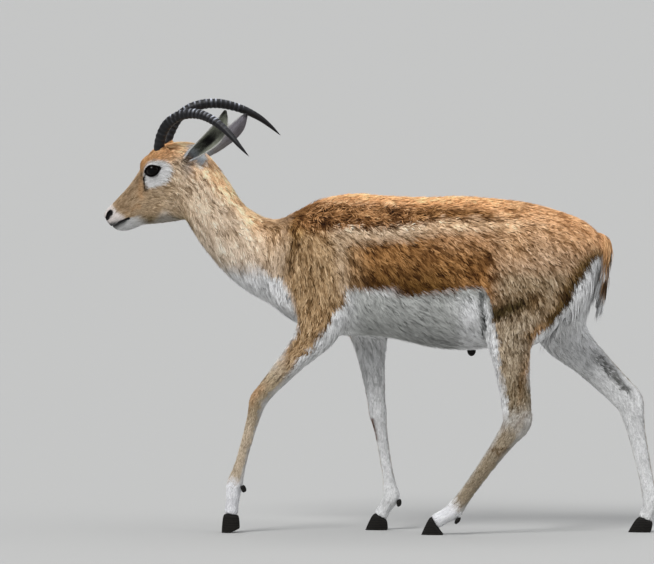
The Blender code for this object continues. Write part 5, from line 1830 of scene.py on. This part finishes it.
# %% Eyes
SIDES = {"left": 1, "right": -1}
EYE_BROWN = (0.0036, 0.0022, 0.0016)
PUPIL = (0.0020, 0.0020, 0.0024)
PUPIL_HALF_LENGTH = 0.0075
PUPIL_HALF_HEIGHT = 0.0036
EYE_RIM = (0.004, 0.003, 0.003)
eye_material, _, _, _ = painted_material("eye", EYE_BROWN, 0.06, 0.10)


def make_eye(which, side):
    """One eyeball: dark brown, with a level pupil and a clear front that bulges a little."""
    low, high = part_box(f"eye_{which}")
    clear_selection()
    bpy.ops.mesh.primitive_uv_sphere_add(segments=64, ring_count=40, radius=EYE_RADIUS)
    item = bpy.context.active_object
    item.name = f"eyeball_{which}"
    ball = read_points(item.data)[:, (0, 2, 1)]
    in_front = ball[:, 1] * side > 0
    rim = np.hypot(ball[:, 0], ball[:, 2])
    ball[:, 1] += side * 0.0007 * ramp(0.0115, 0.0060, rim) * in_front
    pupil = np.hypot(ball[:, 0] / PUPIL_HALF_LENGTH, ball[:, 2] / PUPIL_HALF_HEIGHT)
    fibres = 0.75 + 0.5 * cloud(unit(ball) * (1, 0.2, 1) * 3, 0.12, 31)
    colours = plain(EYE_BROWN, ball) * fibres[:, None]
    lay(colours, PUPIL, ramp(1.15, 0.95, pupil) * in_front)
    lay(colours, EYE_RIM, ramp(0.0118, 0.0128, rim))
    write_points(item.data, ball @ head_axes.T + np.array((low + high) / 2))
    with mesh_edit(item) as build:
        bmesh.ops.recalc_face_normals(build, faces=build.faces)
    set_colours(item.data, colours)
    item.data.shade_smooth()
    item.data.materials.append(eye_material)
    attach(item, "root")
    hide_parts(f"eye_{which}")


for which, side in SIDES.items():
    make_eye(which, side)
print("eyes at:", [tuple(round(v, 3) for v in centre) for centre in eye_centres])

# %% [markdown]
# The horns are sheaths of dark horn with a ring for every few months of growth, and smooth toward
# the tip. Their crests are pale, a little all round as wear and mostly on their upper side as a
# painted highlight. Each is swept along its measured line with many short steps, and the radius of
# each step rises and falls with the rings.

# %% Horns
HORN_PATH = (
    (-0.020, 0.022, 0.005), (-0.040, 0.029, 0.026), (-0.066, 0.040, 0.042), (-0.094, 0.047, 0.051),
    (-0.123, 0.053, 0.049), (-0.150, 0.060, 0.037), (-0.172, 0.071, 0.018), (-0.188, 0.085, -0.006),
    (-0.199, 0.100, -0.032), (-0.206, 0.115, -0.060), (-0.209, 0.125, -0.087), (-0.211, 0.130, -0.116),
)
HORN_WIDTH = 0.0225
HORN_RINGS = 25
HORN_SMOOTH_TIP = 0.20
HORN_STATIONS = 420
HORN_DARK = np.array((0.0045, 0.0042, 0.0052))
# pale of the crests: a little wear, and mostly painted highlight on the upper side
HORN_WORN_AND_HIGHLIGHT = np.array((0.620, 0.650, 0.740))

horn_material, horn_tree, horn_shader, _ = painted_material("horn", (0.030, 0.028, 0.029), 0.50, 0.30)
add_bump(horn_tree, horn_shader, add_node(horn_tree, "TexNoise", Scale=450, Detail=4), 0.35, 0.0006)


def make_horn(which, side):
    path = from_head(smooth_path(HORN_PATH, 12) * (1, side, 1))
    lengths = np.concatenate([[0], np.cumsum(np.linalg.norm(np.diff(path, axis=0), axis=1))])
    share = np.linspace(0, 1, HORN_STATIONS)
    line = np.stack([np.interp(share * lengths[-1], lengths, path[:, axis]) for axis in range(3)], axis=1)
    ringed = 1 - HORN_SMOOTH_TIP
    phase = (share / ringed) ** 1.12 * HORN_RINGS + 0.10 * np.sin(share * 23)
    crest = (0.5 - 0.5 * np.cos(phase * 2 * math.pi)) ** 1.3
    strength = ramp(ringed + 0.02, ringed - 0.10, share) * (0.75 + 0.25 * np.sin(share * 41))
    width = HORN_WIDTH * np.maximum(1 - share**3.6, 0) ** 0.75
    radius = width / 2 * (0.925 + 0.095 * crest * strength + 0.05 * (1 - strength))
    item = tube(f"horn_sheath_{which}", line, np.maximum(radius, 0.0006), sides=10)
    points = read_points(item.data)
    station = ((points[:, None] - line[None, ::4]) ** 2).sum(axis=2).argmin(axis=1) * 4
    # The crests are painted pale mostly on their upper side, as a painted highlight, and a little all round,
    # as wear.
    upper = ramp(0.25, 0.95, read_normals(item.data)[:, 2])
    wear_and_highlight = crest[station] ** 5 * strength[station] * np.clip(0.80 + 0.6 * cloud(points, 0.004, 41), 0, 1)
    colours = HORN_DARK + (wear_and_highlight * (0.05 + 0.95 * upper))[:, None] * (HORN_WORN_AND_HIGHLIGHT - HORN_DARK)
    colours *= (1 + 0.3 * cloud(points, 0.010, 42))[:, None]
    set_colours(item.data, colours)
    item.data.shade_smooth()
    item.data.materials.append(horn_material)
    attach(item, "root")
    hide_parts(f"horn_{which}")
    print("horn", which, len(item.data.polygons), "triangles")


for which, side in SIDES.items():
    make_horn(which, side)

# %% [markdown]
# Hooves, dewclaws and the dark tip of the sheath are the solids' own shape with their corners
# rounded. The soles stay flat, because the animal stands on them.

# %% Hooves, dewclaws and sheath
hoof_material, hoof_tree, hoof_shader = new_material("hoof", (0.040, 0.036, 0.033), 0.65)
hoof_shader.inputs["Specular IOR Level"].default_value = 0.15
hoof_rings = add_node(hoof_tree, "TexWave", Scale=60, Distortion=4.0, Detail_Scale=3.0)
hoof_rings.bands_direction = "Z"
add_bump(hoof_tree, hoof_shader, hoof_rings, 0.12, 0.0008)
hoof_colours = add_node(hoof_tree, "ValToRGB")
hoof_colours.color_ramp.elements[0].color = (0.005, 0.0045, 0.004, 1)
hoof_colours.color_ramp.elements[1].color = (0.013, 0.0115, 0.0095, 1)
hoof_tree.links.new(hoof_rings.outputs["Fac"], hoof_colours.inputs["Fac"])
hoof_tree.links.new(hoof_colours.outputs["Color"], hoof_shader.inputs["Base Color"])
SOLE_HEIGHT = 0.0004
FLAT_ANGLE = math.radians(30)
SHAPE_ANGLE = math.radians(60)


def rounded_copy(node, name, levels=2):
    """A finer copy of a solid: rounded everywhere but round its flat sole."""
    item = copy_of_node(node, name)
    with mesh_edit(item) as build:
        bmesh.ops.join_triangles(
            build, faces=build.faces, cmp_seam=False, cmp_sharp=False, cmp_uvs=False, cmp_vcols=False,
            cmp_materials=False, angle_face_threshold=FLAT_ANGLE, angle_shape_threshold=SHAPE_ANGLE)
        crease = build.edges.layers.float.new("crease_edge")
        for edge in build.edges:
            if max(vert.co.z for vert in edge.verts) < SOLE_HEIGHT:
                edge[crease] = 1.0
    rounding = item.modifiers.new("Round", "SUBSURF")
    rounding.levels = levels
    rounding.render_levels = levels
    apply_all(item)
    item.data.shade_smooth()
    item.data.materials.append(hoof_material)
    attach(item, "root")
    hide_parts(node)
    return item


rounded = []
for leg in LEG_NODES:
    for claw in ("inner", "outer"):
        rounded.append(rounded_copy(f"{leg}_hoof_{claw}", f"{leg}_claw_{claw}"))
        rounded.append(rounded_copy(f"{leg}_dewclaw_{claw}", f"{leg}_spur_{claw}", 1))
rounded.append(rounded_copy("sheath", "sheath_tip"))
print("hooves, dewclaws and sheath:", len(rounded))
